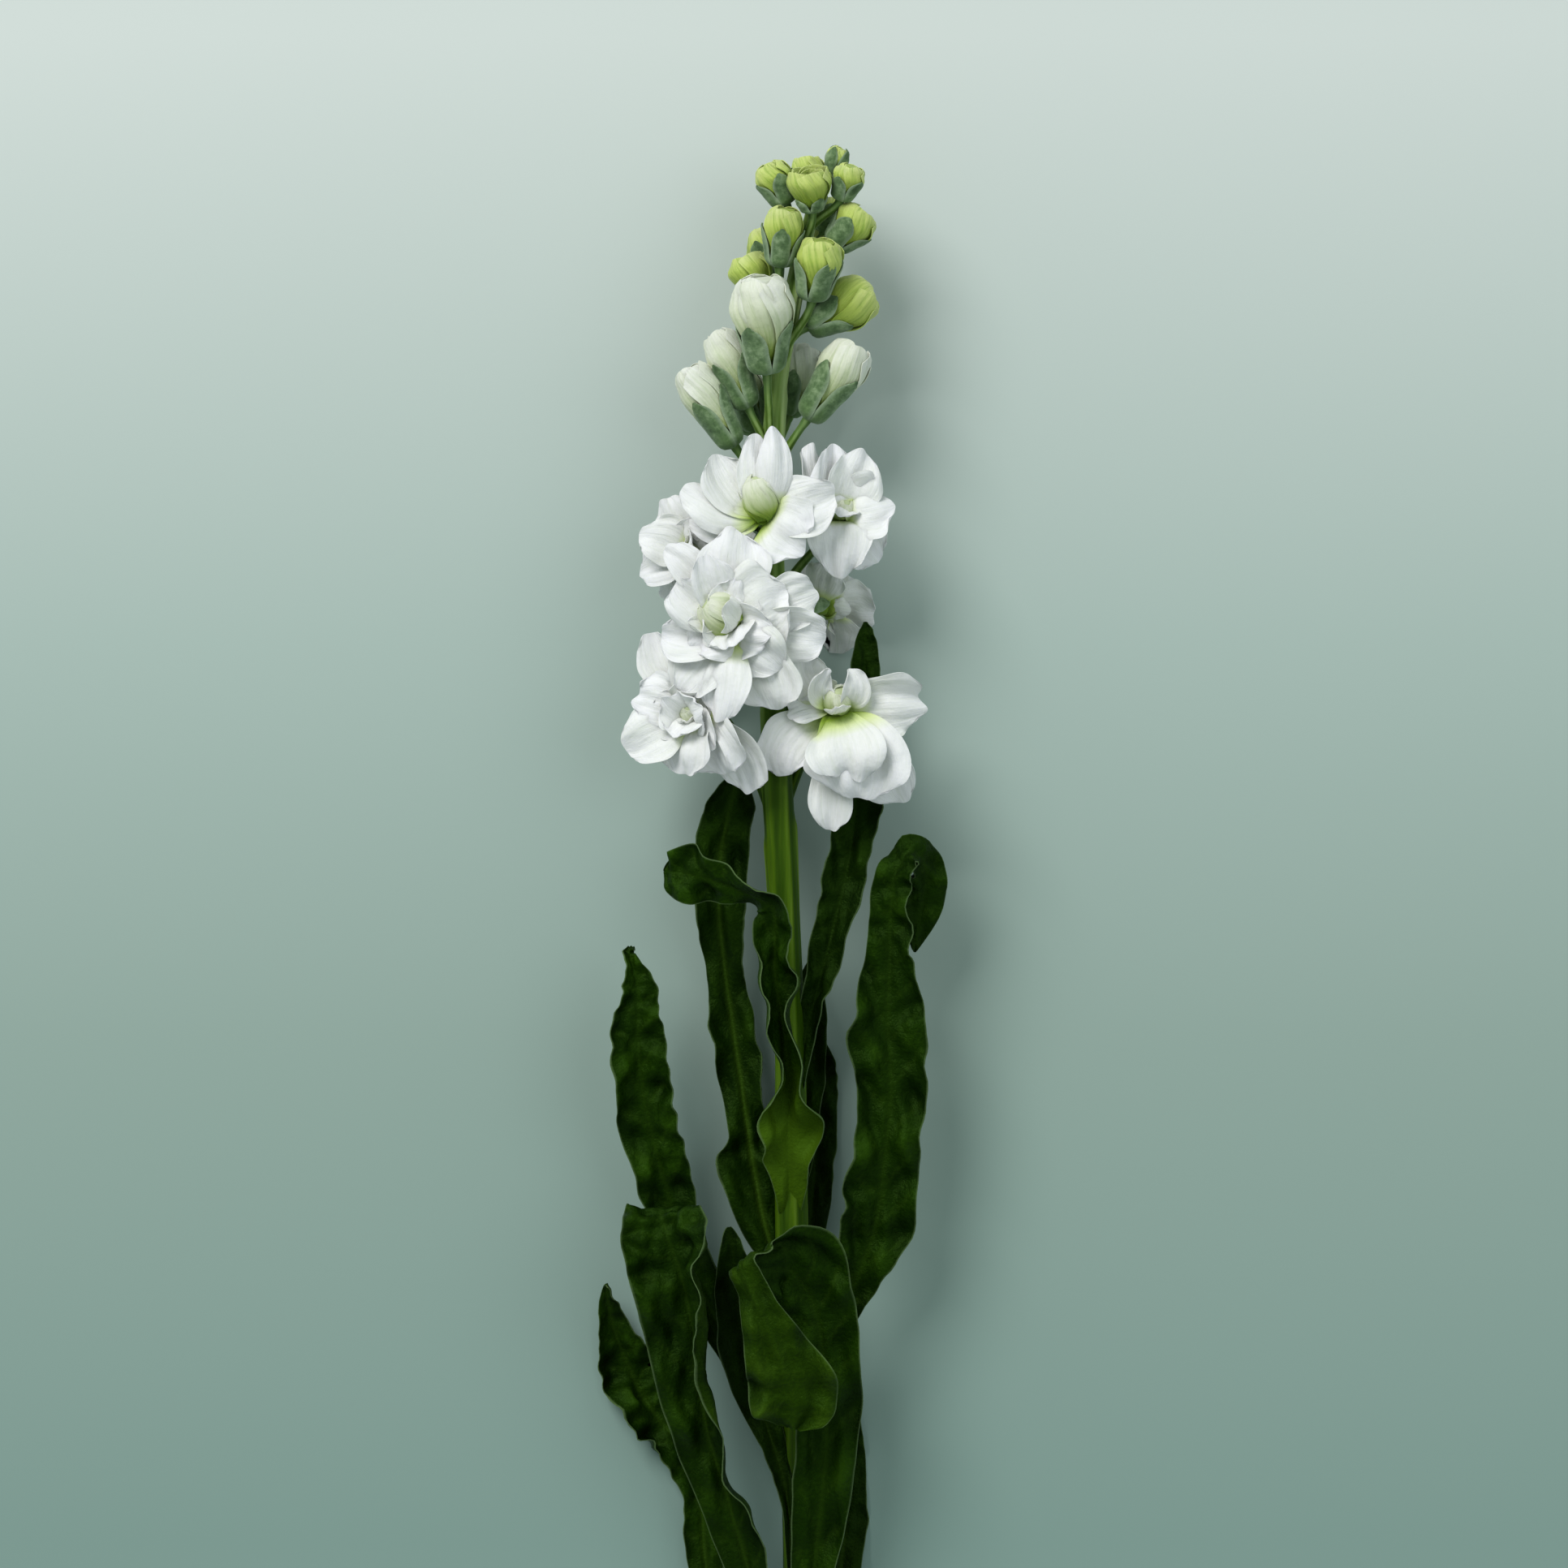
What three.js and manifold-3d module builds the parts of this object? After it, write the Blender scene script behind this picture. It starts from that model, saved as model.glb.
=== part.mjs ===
// A cut stem of white double stock (Matthiola incana), lying on a table.
// Millimetres. +Y runs along the stem towards its tip, +X to the right and +Z up.
// The table top is the plane z = 0, and the origin is under the middle of the stem's bounding box.
import * as THREE from "three";
import Module from "manifold-3d";

const wasm = await Module();
wasm.setup();

// Driving sizes
const GAP = 0.3; // clearance between a bud and the cup that holds it
const CUT = 0.45; // how much wider than a piece is the room cut for it in its neighbours
const LEAF_THICK = 0.8;
const PETAL_THICK = 0.7;
const SEPAL_THICK = 0.6;
const CUP_SLACK = 0.2; // extra room in a calyx, where its facets cut the corners
const NECK_RADIUS = 1.9; // bundle of petal claws inside an open flower's calyx
const NECK_LENGTH = 11;
const PRESS = 0.1; // how far a blade that lies on the table is pressed flat by it
const PINWHEEL = 12; // each petal laps over the next one, turned by this many degrees
const PEDICEL_RADIUS = 1.0;
const BLOOM_CALYX = 9.5; // length of an open flower's calyx

// Facets: steps along and across each kind of piece
const STEM_SIDES = 10;
const STEM_STEPS = 20;
const PEDICEL_STEPS = 2;
const LEAF_STEPS_ACROSS = 4;
const NARROW_LEAF_STEPS_ACROSS = 2;
const NARROW_LEAF = 12.5; // the greatest width of a leaf that needs only those
const PETAL_STEPS = [3, 2];
const RING_PETAL_STEPS = [2, 2];
const BUD_SIDES = 8; // also four sepal tips and the four notches between them

// Main stem: x, y, z, radius at points from the cut end to the tip
const STEM = [
  [7, -220, 3.95, 4.3],
  [7.3, -170, 7.2, 4.2],
  [7, -130, 9.3, 4.1],
  [6, -90, 11.5, 4.0],
  [5, -45, 14.0, 4.0],
  [4.5, 0, 16.5, 3.7],
  [3, 35, 18.4, 3.7],
  [1.5, 65, 20, 3.6],
  [0.5, 100, 22, 3.2],
  [0, 130, 23, 2.8],
  [0.5, 150, 23.6, 2.5],
  [2, 165, 24, 2.3],
  [4.8, 180, 24.4, 2.0],
  [7.2, 192, 24.8, 1.8],
  [9.5, 202, 25, 1.5],
  [12.3, 209, 25.2, 1.2],
  [14.2, 213, 25.3, 1.0],
];

// Leaves: at each station x, y, z of the midrib, the direction across the blade, half its width, and
// how far its left and right halves roll up out of that direction, in degrees at the margin.
// wave is the height of the waves in the margin, in millimetres, and how many there are.
const LEAVES = {
  leaf_front_fold: {
    wave: [0.5, 4],
    stations: [
      [7.5, -160, 10.5, 1, 0, 0, 2.6, 20, 20],
      [9.5, -140, 15, 1, 0, 0, 4.8, 25, 25],
      [12, -118, 20, 1, 0, 0, 7, 22, 22],
      [13.8, -97, 24, 1, 0, 0, 8, 18, 18],
      [13, -78, 27.5, 1, 0, 0, 9.3, 14, 14],
      [10.5, -65, 30, 1, 0.15, 0, 10.2, 8, 8],
      [5, -56.5, 33, 0.85, 0.53, 0, 14, 4, 4],
      [-2.5, -55.5, 38, 0.15, 0.95, 0.25, 6.4, 4, 4],
      [-7.2, -54, 41.8, 0.5, 0.4, 0.75, 4.4, 4, 4],
      [-3.6, -63, 43.5, 1, 0.3, 0.2, 4.6, 6, 6],
      [0.8, -74, 42.5, 1, 0.3, 0, 7.8, 8, 8],
      [5.4, -86.5, 39, 1, 0.12, 0, 11.2, 10, 10],
      [5.6, -95, 36.5, 1, 0, 0, 7, 8, 8],
    ],
  },
  leaf_left_roll: {
    wave: [0.5, 5],
    stations: [
      [3.5, -164, 9.5, 1, 0, 0, 2.4, 20, 20],
      [-1.5, -146, 14, 1, 0, 0, 4.2, 20, 30],
      [-6, -130, 18, 1, 0, 0, 5.6, 20, 50],
      [-10.5, -114, 21.5, 1, 0, 0, 7.2, 15, 90],
      [-15, -99, 24.5, 1, 0, 0, 8.5, 12, 120],
      [-18, -84, 27, 1, 0, 0, 10.5, 12, 135],
      [-19.5, -70, 29, 1, 0, 0, 12, 12, 135],
      [-22, -58, 31, 1, 0, 0, 12.8, 10, 115],
      [-25, -49, 31.5, 1, 0, 0, 12, 8, 60],
      [-27, -43.5, 30, 1, 0, 0, 10, 6, 20],
      [-27.6, -41.6, 27, 1, 0, 0, 7.6, 4, 10],
      [-27.8, -44.5, 24, 1, 0, 0, 4.5, 4, 6],
    ],
  },
  leaf_left_low: {
    wave: [0.6, 4],
    stations: [
      [3, -182, 5.5, 1, 0, 0, 2.2, 15, 15],
      [-6, -164, 6, 1, 0, 0, 3.2, 15, 15],
      [-14, -146, 5, 1, 0, 0, 4.0, 15, 15],
      [-16.8, -128, 4, 1, 0, 0, 4.4, 15, 15],
      [-18, -113, 2.8, 1, 0, 0, 5, 25, 15],
      [-24, -101, 1.0, 1, 0, 0, 7.5, 60, 12],
      [-31, -92, 0.2, 1, 0, 0, 9.5, 75, 10],
      [-36.5, -81, 0.8, 1, 0, 0, 7.5, 50, 8],
      [-40, -70, 4.5, 1, 0, 0.2, 3.6, 45, 20],
      [-41, -61.5, 8.5, 1, 0, 0.6, 1.2, 30, 30],
    ],
  },
  leaf_left_tall: {
    wave: [0.8, 4],
    stations: [
      [4, -96, 7.5, 1, 0, 0, 2, 15, 15],
      [-7, -82, 6.5, 1, 0, 0, 3.6, 15, 15],
      [-17, -64, 8, 1, 0, 0, 5.2, 20, 20],
      [-24, -44, 12.5, 1, 0, 0, 6.5, 25, 25],
      [-28.5, -28, 16, 1, 0, 0, 7.5, 30, 25],
      [-32, -12, 18.5, 1, 0, 0, 7.8, 35, 25],
      [-33, 3, 20, 1, 0, 0, 6.6, 45, 25],
      [-33, 13, 20.5, 1, 0, -0.1, 4.4, 45, 25],
      [-35, 21, 20.5, 1, 0, -0.3, 1.5, 30, 30],
      [-34, 22.5, 18.5, 1, 0, -0.3, 0.8, 20, 20],
    ],
  },
  leaf_curl: {
    wave: [0.9, 5],
    stations: [
      [4.6, -43, 16.5, 1, 0, 0, 2.8, 10, 10],
      [4.6, -33, 20, 1, 0, 0, 5.2, 30, 30],
      [4.4, -22, 23, 1, 0, 0, 8.8, 55, 55],
      [4.2, -9, 25.5, 1, 0, 0, 8, 105, 105],
      [2.6, 5, 27.5, 1, 0, 0, 7, 115, 110],
      [0.8, 17, 29.5, 1, 0, 0.1, 6.5, 105, 70],
      [1, 26, 32, 0.9, 0, 0.5, 5.6, 45, 25],
      [0.5, 32.5, 34.5, 0.4, 0.5, 0.75, 4.8, 12, 12],
      [-6, 36.5, 35, 0, 0.6, 0.8, 4.6, 10, 10],
      [-13, 39, 34, 0, 0.85, 0.5, 5.6, 12, 12],
      [-20, 40.8, 32, 0, 1, 0.1, 7.4, 16, 16],
      [-24.6, 41.4, 30, 0, 1, 0, 5.2, 12, 12],
      [-26.2, 41.6, 28.8, 0, 1, 0, 1.4, 12, 12],
    ],
  },
  leaf_back_left: {
    wave: [1.6, 4],
    stations: [
      [2, -58, 12, 1, 0, 0, 2.4, 10, 10],
      [-1.8, -46, 11.5, 1, 0, 0, 6.2, 15, 15],
      [-4.5, -32, 11, 1, 0, 0, 9, 20, 15],
      [-6, -22, 10.8, 1, 0, 0, 5.2, 25, 15],
      [-8, -8, 10.5, 1, 0, 0, 5.8, 25, 15],
      [-9.8, 4, 10.5, 1, 0, 0, 5.6, 25, 20],
      [-11.6, 17, 11, 1, 0, 0, 4.8, 30, 20],
      [-13, 32, 12, 1, 0, 0, 6.6, 35, 25],
      [-12.5, 46, 13, 1, 0, 0, 7.4, 35, 25],
      [-10, 58, 13.5, 1, 0, 0, 5.6, 30, 25],
      [-7, 68, 13.5, 1, 0, 0, 1.2, 25, 25],
    ],
  },
  leaf_right_slim: {
    wave: [0.8, 5],
    stations: [
      [6.5, -12, 17, 1, 0, 0, 2, 30, 30],
      [9, 2, 17.5, 1, 0, 0.2, 2.8, 45, 45],
      [12, 14, 18.5, 1, 0, 0.2, 4.2, 50, 45],
      [15.5, 28, 19, 1, 0, 0.2, 5.2, 45, 35],
      [18.8, 42, 19, 1, 0, 0.2, 5.8, 40, 30],
      [21, 56, 18, 1, 0, 0.1, 5.6, 30, 30],
      [22.5, 72, 17, 1, 0, 0, 5, 25, 25],
      [23, 87, 16.5, 1, 0, 0, 4.2, 25, 25],
      [23.4, 97, 16.5, 1, 0, 0, 3, 20, 20],
      [23.4, 103.2, 16.5, 1, 0, 0, 0.8, 20, 20],
    ],
  },
  leaf_right_tall: {
    wave: [0.9, 5],
    stations: [
      [6.5, -96, 11, 1, 0, 0, 1.8, 15, 15],
      [13.5, -76, 14.5, 1, 0, 0, 3.6, 20, 20],
      [20.5, -61, 17.5, 1, 0, 0, 5.6, 25, 25],
      [26, -45, 20, 1, 0, 0, 9.6, 30, 20],
      [28, -30, 21.5, 1, 0, 0, 8.8, 30, 20],
      [29.6, -12, 22.5, 1, 0, 0, 8.8, 25, 20],
      [28.8, 4, 23, 1, 0, 0, 9.8, 25, 20],
      [29.2, 18, 23.5, 1, 0, 0.1, 6.6, 25, 20],
      [29.6, 30, 24.5, 0.92, 0, 0.4, 5.4, 22, 20],
      [30.6, 40.5, 26, 0.8, -0.2, 0.5, 5, 16, 14],
      [34.4, 46.2, 26.5, 0, -0.76, 0.65, 5, 12, 10],
      [38, 42, 23.5, -0.85, -0.3, 0.45, 5.2, 10, 10],
      [37.4, 33, 21, -0.98, 0, 0.2, 5.2, 12, 12],
      [35.4, 21.5, 19.5, -1, 0, 0.2, 1.2, 10, 10],
    ],
  },
  leaf_back_small: {
    wave: [0.5, 3],
    stations: [
      [6.5, -66, 9.5, 1, 0, 0, 2.2, 10, 10],
      [9.4, -50, 6.5, 1, 0, 0, 3.8, 12, 12],
      [10.8, -34, 4, 1, 0, 0, 5, 15, 15],
      [11.2, -18, 3, 1, 0, 0, 5.4, 15, 15],
      [11.6, -7, 3, 1, 0, 0, 4.6, 15, 15],
      [12, 0, 3.5, 1, 0, 0, 1.4, 15, 15],
    ],
  },
  leaf_back_long: {
    wave: [0.5, 3],
    stations: [
      [5.5, -42, 12, 1, 0, 0, 2, 10, 10],
      [7.5, -26, 9.5, 1, 0, 0, 4, 15, 15],
      [8.8, -8, 8.6, 1, 0, 0, 4.8, 18, 18],
      [9.6, 8, 8.6, 1, 0, 0, 4.4, 18, 18],
      [9.8, 19, 9.5, 1, 0, 0, 1.6, 18, 18],
    ],
  },
  leaf_low_left: {
    wave: [0.6, 3],
    stations: [
      [6.5, -156, 11, 1, 0, 0, 1.8, 20, 20],
      [5.6, -132, 13.5, 1, 0, 0, 1.6, 20, 20],
      [3.6, -112, 14.5, 1, 0, 0, 1.9, 20, 20],
      [-0.5, -98, 13.5, 1, 0, 0, 3.8, 20, 15],
      [-5, -84, 12.5, 1, 0, 0, 6, 15, 15],
      [-7.6, -69, 12, 1, 0, 0, 6.2, 15, 15],
      [-9.2, -57, 12.5, 1, 0, 0, 4.6, 20, 15],
      [-10.4, -47, 13.5, 1, 0, 0, 1.4, 20, 15],
    ],
  },
  leaf_low_right: {
    wave: [0.6, 3],
    stations: [
      [8, -174, 5, 1, 0, 0, 2.2, 10, 10],
      [14, -154, 3.2, 1, 0, 0, 3.6, 12, 12],
      [17.6, -134, 1.8, 1, 0, 0, 4.8, 14, 14],
      [18.8, -115, 0.2, 1, 0, 0, 5, 14, 14],
      [18.6, -99, 0.2, 1, 0, 0, 4.4, 14, 14],
      [17.8, -87, 1.8, 1, 0, 0, 1.4, 14, 14],
    ],
  },
};

// Open flowers. throat is where the petals spread and axis points out of the flower. root is the height
// on the stem where the flower stalk leaves it. Each placed petal is x, y, z of its middle and of its tip,
// half its width, and the roll of its margins in degrees. ring is a count of petals set round the axis by
// rule, their length, how far they lean out of the axis in degrees and half their width. heart is the
// knot of unopened petals: the direction it points in, its radius and its length.
const BLOOMS = {
  bloom_centre: {
    throat: [-9, 101.5, 34],
    axis: [-0.2, -0.05, 0.97],
    root: 82,
    petals: [
      [-9, 115, 37.5, -8.4, 125.2, 36, 8.8, 20],
      [-18, 114, 35.5, -25.8, 121, 34, 4.4, 20],
      [-13.5, 111, 39, -16, 118.8, 40.5, 5.6, 35],
      [-2.5, 106.5, 40, 4.5, 109.5, 39, 11, -12],
      [3, 107, 37, 11.5, 110, 35.5, 6.8, 25],
      [4, 100, 37, 13.6, 99, 35, 7.2, 25],
      [-3.5, 96, 39, 2.5, 91, 38, 7.2, 15],
      [-11.5, 89, 40, -12.5, 78.4, 38, 6.8, -30],
      [-16.5, 92, 35.5, -21.5, 85.5, 34, 6.6, 20],
      [-1.5, 90, 36, 1, 80.8, 34, 8.4, 20],
      [-18, 106.5, 37, -23.5, 112, 36, 6.4, 30],
      [-19, 99, 35, -26.8, 100, 33, 6.8, 30],
    ],
    heart: [-5, 5, 4, 5.2, 12],
  },
  bloom_top: {
    throat: [-2, 128.5, 31],
    axis: [-0.15, 0.35, 0.9],
    root: 112,
    petals: [
      [0.8, 138, 37, 0.2, 150, 35, 4.8, -50],
      [-3.8, 137, 34, -3.8, 148.8, 32.5, 4.4, 30],
      [-9, 135, 32, -13.5, 143.8, 31.5, 7.6, 30],
      [-12, 130.5, 34.5, -21.8, 135.5, 34, 6.4, -35],
      [-11, 127, 31.5, -20, 128, 29, 6, 20],
      [7, 130.5, 35.5, 15.8, 134, 35, 8, 20],
      [2.5, 125, 36, 8, 120.5, 35.5, 9.8, 20],
    ],
    heart: [-1.5, 11, 4.5, 4.4, 12],
  },
  bloom_low_right: {
    throat: [16, 81.5, 29],
    axis: [0.1, 0, 0.98],
    root: 52,
    petals: [
      [28, 82.5, 31.5, 37.6, 83, 29, 8.2, 15],
      [18.5, 72, 37.5, 20, 63.8, 35, 9.6, 15],
      [20.5, 70, 34.5, 21.5, 58.6, 32, 12.8, 20],
      [27, 67, 29, 32.5, 58.6, 27, 6.6, 15],
      [5, 73.5, 29, 3, 64.8, 28, 7.2, 15],
      [15, 62, 28.5, 14.8, 51.6, 27, 5.2, 15],
      [9, 81.5, 31.5, 4.2, 79.6, 31, 3.6, 25],
      [11.5, 86, 34, 14.5, 90.8, 35.5, 3.8, 60],
      [20.5, 85, 34, 19.5, 91, 35, 4, 55],
      [9, 89, 31, 8.5, 96, 29.5, 5.6, 25],
    ],
    heart: [1, 5, 6, 3.2, 8],
  },
  bloom_low_left: {
    throat: [-19, 80, 29],
    axis: [-0.4, -0.1, 0.85],
    root: 48,
    petals: [
      [-26, 91, 29, -29.8, 100.2, 27, 5.8, 30],
      [-21.5, 87.5, 33.5, -23.5, 95, 33, 3.8, -30],
      [-27, 83, 31, -33.8, 84.3, 29, 7.2, 20],
      [-28, 75.5, 31, -36.6, 71.5, 29.5, 7.4, 20],
      [-21, 72.5, 33, -21.5, 65, 32, 8.8, 20],
      [-14, 72.5, 34.5, -10.5, 65, 33.5, 8.6, 20],
      [-9, 71.5, 31, -4, 61.2, 29, 7.2, 30],
    ],
    heart: [-2, 3, 6, 2.8, 6],
  },
  bloom_top_right: {
    throat: [17, 129.5, 24.6],
    axis: [0.3, 0.45, 0.84],
    root: 104,
    petals: [
      [12, 136, 28, 9.6, 146.3, 26, 5.4, 25],
      [15.6, 134.5, 30, 15.6, 146.4, 28, 7.6, 15],
      [20, 136, 29, 22.8, 145, 27, 7.2, 20],
      [23, 131, 29, 29.6, 132, 27, 8.6, 20],
      [17, 124.5, 31, 16.5, 114.2, 28.5, 8, 12],
      [22, 123, 27, 26.4, 118, 25.5, 7.4, 15],
    ],
    heart: [2, 4, 5, 2.8, 6],
  },
  bloom_left: {
    throat: [-19, 119.5, 24],
    axis: [-0.5, 0.15, 0.8],
    root: 98,
    petals: [
      [-22, 127, 26, -25.5, 133.4, 25, 6.4, 25],
      [-25, 122.5, 28, -32.3, 124, 26.5, 6.6, 20],
      [-26, 117.5, 25.5, -33, 115.6, 23.5, 6.8, 20],
      [-23, 113.5, 24, -27, 109, 22.5, 6.4, 20],
      [-17, 125, 25, -15.5, 132, 24, 5.4, 20],
    ],
    heart: [-2, 0, 5, 2.8, 5],
  },
  bloom_back_right: {
    throat: [13, 107, 9.5],
    axis: [0.5, 0.15, -0.8],
    root: 88,
    petals: [[13, 113, 16, 14.5, 117, 19.5, 5.5, 20]],
    ring: [5, 14, 62, 7.4],
    heart: [1, 0, -1, 3, 5],
  },
  bloom_back_left: {
    throat: [-11, 90, 9],
    axis: [-0.5, 0, -0.85],
    root: 72,
    ring: [5, 15, 62, 7.6],
    heart: [-1, 0, -1, 3, 5],
  },
  bloom_back_top: {
    throat: [-4, 131, 9.5],
    axis: [-0.2, 0.35, -0.9],
    root: 113,
    ring: [5, 14.5, 62, 7.6],
    heart: [0, 1, -1, 3, 5],
  },
};

// Buds: x, y, z of the foot and of the tip, the radius of the ball of petals, the share of the length
// that the sepals cover, how open the top is from 0 to 1, and the height on the stem of the stalk's root.
const BUDS = {
  bud_01: [14.3, 212, 25.3, 17.4, 220, 25.8, 2.4, 1.0, 0, 205],
  bud_02: [9.6, 207, 20.5, 8.8, 218.4, 19.5, 4, 0.7, 0.5, 196],
  bud_03: [3.8, 205.6, 26.5, -1, 216, 28, 4.2, 0.7, 0.2, 192],
  bud_04: [10.2, 203.5, 30, 9.2, 214.6, 33.5, 5.2, 0.35, 0.8, 192],
  bud_05: [17, 206.5, 29, 20.4, 215, 31.5, 3.6, 0.7, 0.3, 198],
  bud_06: [15, 195.3, 26.5, 23.8, 204, 27.5, 5, 0.7, 0.2, 184],
  bud_07: [2, 190, 29.5, 3.6, 205, 32.5, 4.4, 0.7, 0.1, 178],
  bud_08: [10, 181.5, 30.5, 12.8, 197, 34.5, 5.3, 0.7, 0.1, 166],
  bud_09: [-3, 181.5, 22.5, -6, 194.3, 21.5, 5, 0.4, 0.8, 168],
  bud_10: [8.8, 175.6, 25.5, 25.6, 184.5, 24, 6, 0.55, 0.1, 158],
  bud_11: [-1, 163.5, 31.5, -2.6, 188, 37, 7.5, 0.55, 0.1, 136],
  bud_12: [-5.5, 155.5, 25.5, -13.6, 175, 26, 4.8, 0.66, 0.1, 140],
  bud_13: [-8.8, 146, 26, -21, 166.4, 27.5, 5, 0.66, 0.1, 128],
  bud_14: [8.8, 152.6, 27, 22, 171.5, 28.5, 5.5, 0.66, 0.1, 133],
  bud_15: [4.5, 154, 17.5, 9.5, 172, 14.5, 4.6, 0.6, 0.1, 140],
  bud_16: [8, 186, 19.5, 12.6, 200, 16.5, 3.8, 0.65, 0.1, 176],
  bud_17: [12.8, 199, 19, 17, 207.5, 14.5, 3.4, 0.7, 0.1, 190],
  bud_18: [0, 186, 18, -2, 201, 13.5, 4.4, 0.7, 0.1, 172],
  bud_19: [1, 168, 16, -4, 186, 11, 5.2, 0.66, 0.1, 154],
  bud_20: [-4, 150, 16.5, -9, 167, 10, 5.2, 0.66, 0.1, 138],
};

// Colours from the photograph, with the roughness of each surface
const LEAF_FINISH = { color: 0x2f5a1c, roughness: 0.6, metalness: 0 };
const STEM_FINISH = { color: 0x6f9440, roughness: 0.55, metalness: 0 };
const PETAL_FINISH = { color: 0xf4f4ee, roughness: 0.7, metalness: 0 };
const BUD_FINISH = { color: 0xdfe6bc, roughness: 0.65, metalness: 0 };

// Maths
const vec = (x, y, z) => new THREE.Vector3(x, y, z);
const radians = (degrees) => (degrees * Math.PI) / 180;
const clamp = (x, low, high) => Math.min(high, Math.max(low, x));

// A number from 0 to 1 that is the same for the same key on every run.
function noise(key) {
  const x = Math.sin(key * 12.9898 + 4.1) * 43758.5453;
  return x - Math.floor(x);
}

// The row at u, from 0 to 1, of a smooth curve through rows of numbers (Catmull-Rom).
function alongRows(rows, u) {
  const last = rows.length - 1;
  const at = clamp(u, 0, 1) * last;
  const i = Math.min(Math.floor(at), last - 1);
  const t = at - i;
  const row = (k) => rows[clamp(k, 0, last)];
  const [a, b, c, d] = [row(i - 1), row(i), row(i + 1), row(i + 2)];
  return b.map((_, k) => {
    const slope = (c[k] - a[k]) / 2;
    const next = (d[k] - b[k]) / 2;
    const s = t * t * (3 - 2 * t);
    return b[k] + (c[k] - b[k]) * s + slope * t * (1 - t) ** 2 - next * t * t * (1 - t);
  });
}

// The table holds a blade up, and presses its underside flat.
function onTable(point, thickness) {
  point.z = Math.max(point.z, thickness / 2 - PRESS);
  return point;
}

// Solids
function solid(points, faces) {
  const mesh = new wasm.Mesh({
    numProp: 3,
    vertProperties: new Float32Array(points.flatMap((p) => [p.x, p.y, p.z])),
    triVerts: new Uint32Array(faces.flat()),
  });
  return new wasm.Manifold(mesh);
}

const join = (solids) => solids.reduce((whole, next) => whole.add(next));

// A thin blade over a surface of u along and v across, both faces split alike. grow widens it all round.
function blade(surface, [stepsAlong, stepsAcross], thickness, grow = 0) {
  const columns = stepsAcross + 1;
  const middle = [];
  for (let i = 0; i <= stepsAlong; i++) {
    for (let j = 0; j <= stepsAcross; j++) {
      middle.push(surface(i / stepsAlong, (2 * j) / stepsAcross - 1));
    }
  }
  const at = (i, j) => i * columns + j;
  const facets = [];
  for (let i = 0; i < stepsAlong; i++) {
    for (let j = 0; j < stepsAcross; j++) {
      facets.push([at(i, j), at(i, j + 1), at(i + 1, j + 1)]);
      facets.push([at(i, j), at(i + 1, j + 1), at(i + 1, j)]);
    }
  }
  // A point's normal is the mean of the facets round it, so that the two faces never cross.
  const normals = middle.map(() => vec(0, 0, 0));
  for (const facet of facets) {
    const [a, b, c] = facet.map((k) => middle[k]);
    const square = b.clone().sub(a).cross(c.clone().sub(a)).normalize();
    for (const k of facet) normals[k].add(square);
  }
  const outward = (from, to) => middle[to].clone().sub(middle[from]).setLength(grow);
  const shifts = middle.map(() => vec(0, 0, 0));
  for (let j = 0; j <= stepsAcross && grow > 0; j++) {
    shifts[at(0, j)].add(outward(at(1, j), at(0, j)));
    shifts[at(stepsAlong, j)].add(outward(at(stepsAlong - 1, j), at(stepsAlong, j)));
  }
  for (let i = 0; i <= stepsAlong && grow > 0; i++) {
    shifts[at(i, 0)].add(outward(at(i, 1), at(i, 0)));
    shifts[at(i, stepsAcross)].add(outward(at(i, stepsAcross - 1), at(i, stepsAcross)));
  }
  const half = thickness / 2 + grow;
  const points = middle.flatMap((point, k) => {
    const here = point.clone().add(shifts[k]);
    const lift = normals[k].setLength(half);
    return [here.clone().add(lift), here.clone().sub(lift)];
  });
  const index = (i, j, side) => 2 * at(i, j) + side;
  const faces = facets.flatMap(([a, b, c]) => [
    [2 * a, 2 * b, 2 * c],
    [2 * a + 1, 2 * c + 1, 2 * b + 1],
  ]);
  const rim = [];
  for (let j = 0; j < stepsAcross; j++) rim.push([0, j]);
  for (let i = 0; i < stepsAlong; i++) rim.push([i, stepsAcross]);
  for (let j = stepsAcross; j > 0; j--) rim.push([stepsAlong, j]);
  for (let i = stepsAlong; i > 0; i--) rim.push([i, 0]);
  rim.forEach((from, k) => {
    const to = rim[(k + 1) % rim.length];
    faces.push([index(...to, 0), index(...from, 0), index(...from, 1)]);
    faces.push([index(...to, 0), index(...from, 1), index(...to, 1)]);
  });
  return solid(points, faces);
}

// Two directions square to a third.
function squareTo(direction) {
  const away = Math.abs(direction.z) < 0.9 ? vec(0, 0, 1) : vec(1, 0, 0);
  const side = direction.clone().cross(away).normalize();
  return [side, side.clone().cross(direction).normalize()];
}

// A closed body of rings: ring(i) gives its points, and a pole closes each end.
function ringed(rings, start, end) {
  const sides = rings[0].length;
  const points = [start, ...rings.flat(), end];
  const index = (i, j) => 1 + i * sides + (j % sides);
  const faces = [];
  for (let j = 0; j < sides; j++) {
    faces.push([0, index(0, j + 1), index(0, j)]);
    faces.push([points.length - 1, index(rings.length - 1, j), index(rings.length - 1, j + 1)]);
    for (let i = 0; i < rings.length - 1; i++) {
      faces.push([index(i, j), index(i, j + 1), index(i + 1, j + 1)]);
      faces.push([index(i, j), index(i + 1, j + 1), index(i + 1, j)]);
    }
  }
  const made = solid(points, faces);
  if (made.volume() > 0) return made;
  return solid(points, faces.map(([a, b, c]) => [a, c, b]));
}

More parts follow.
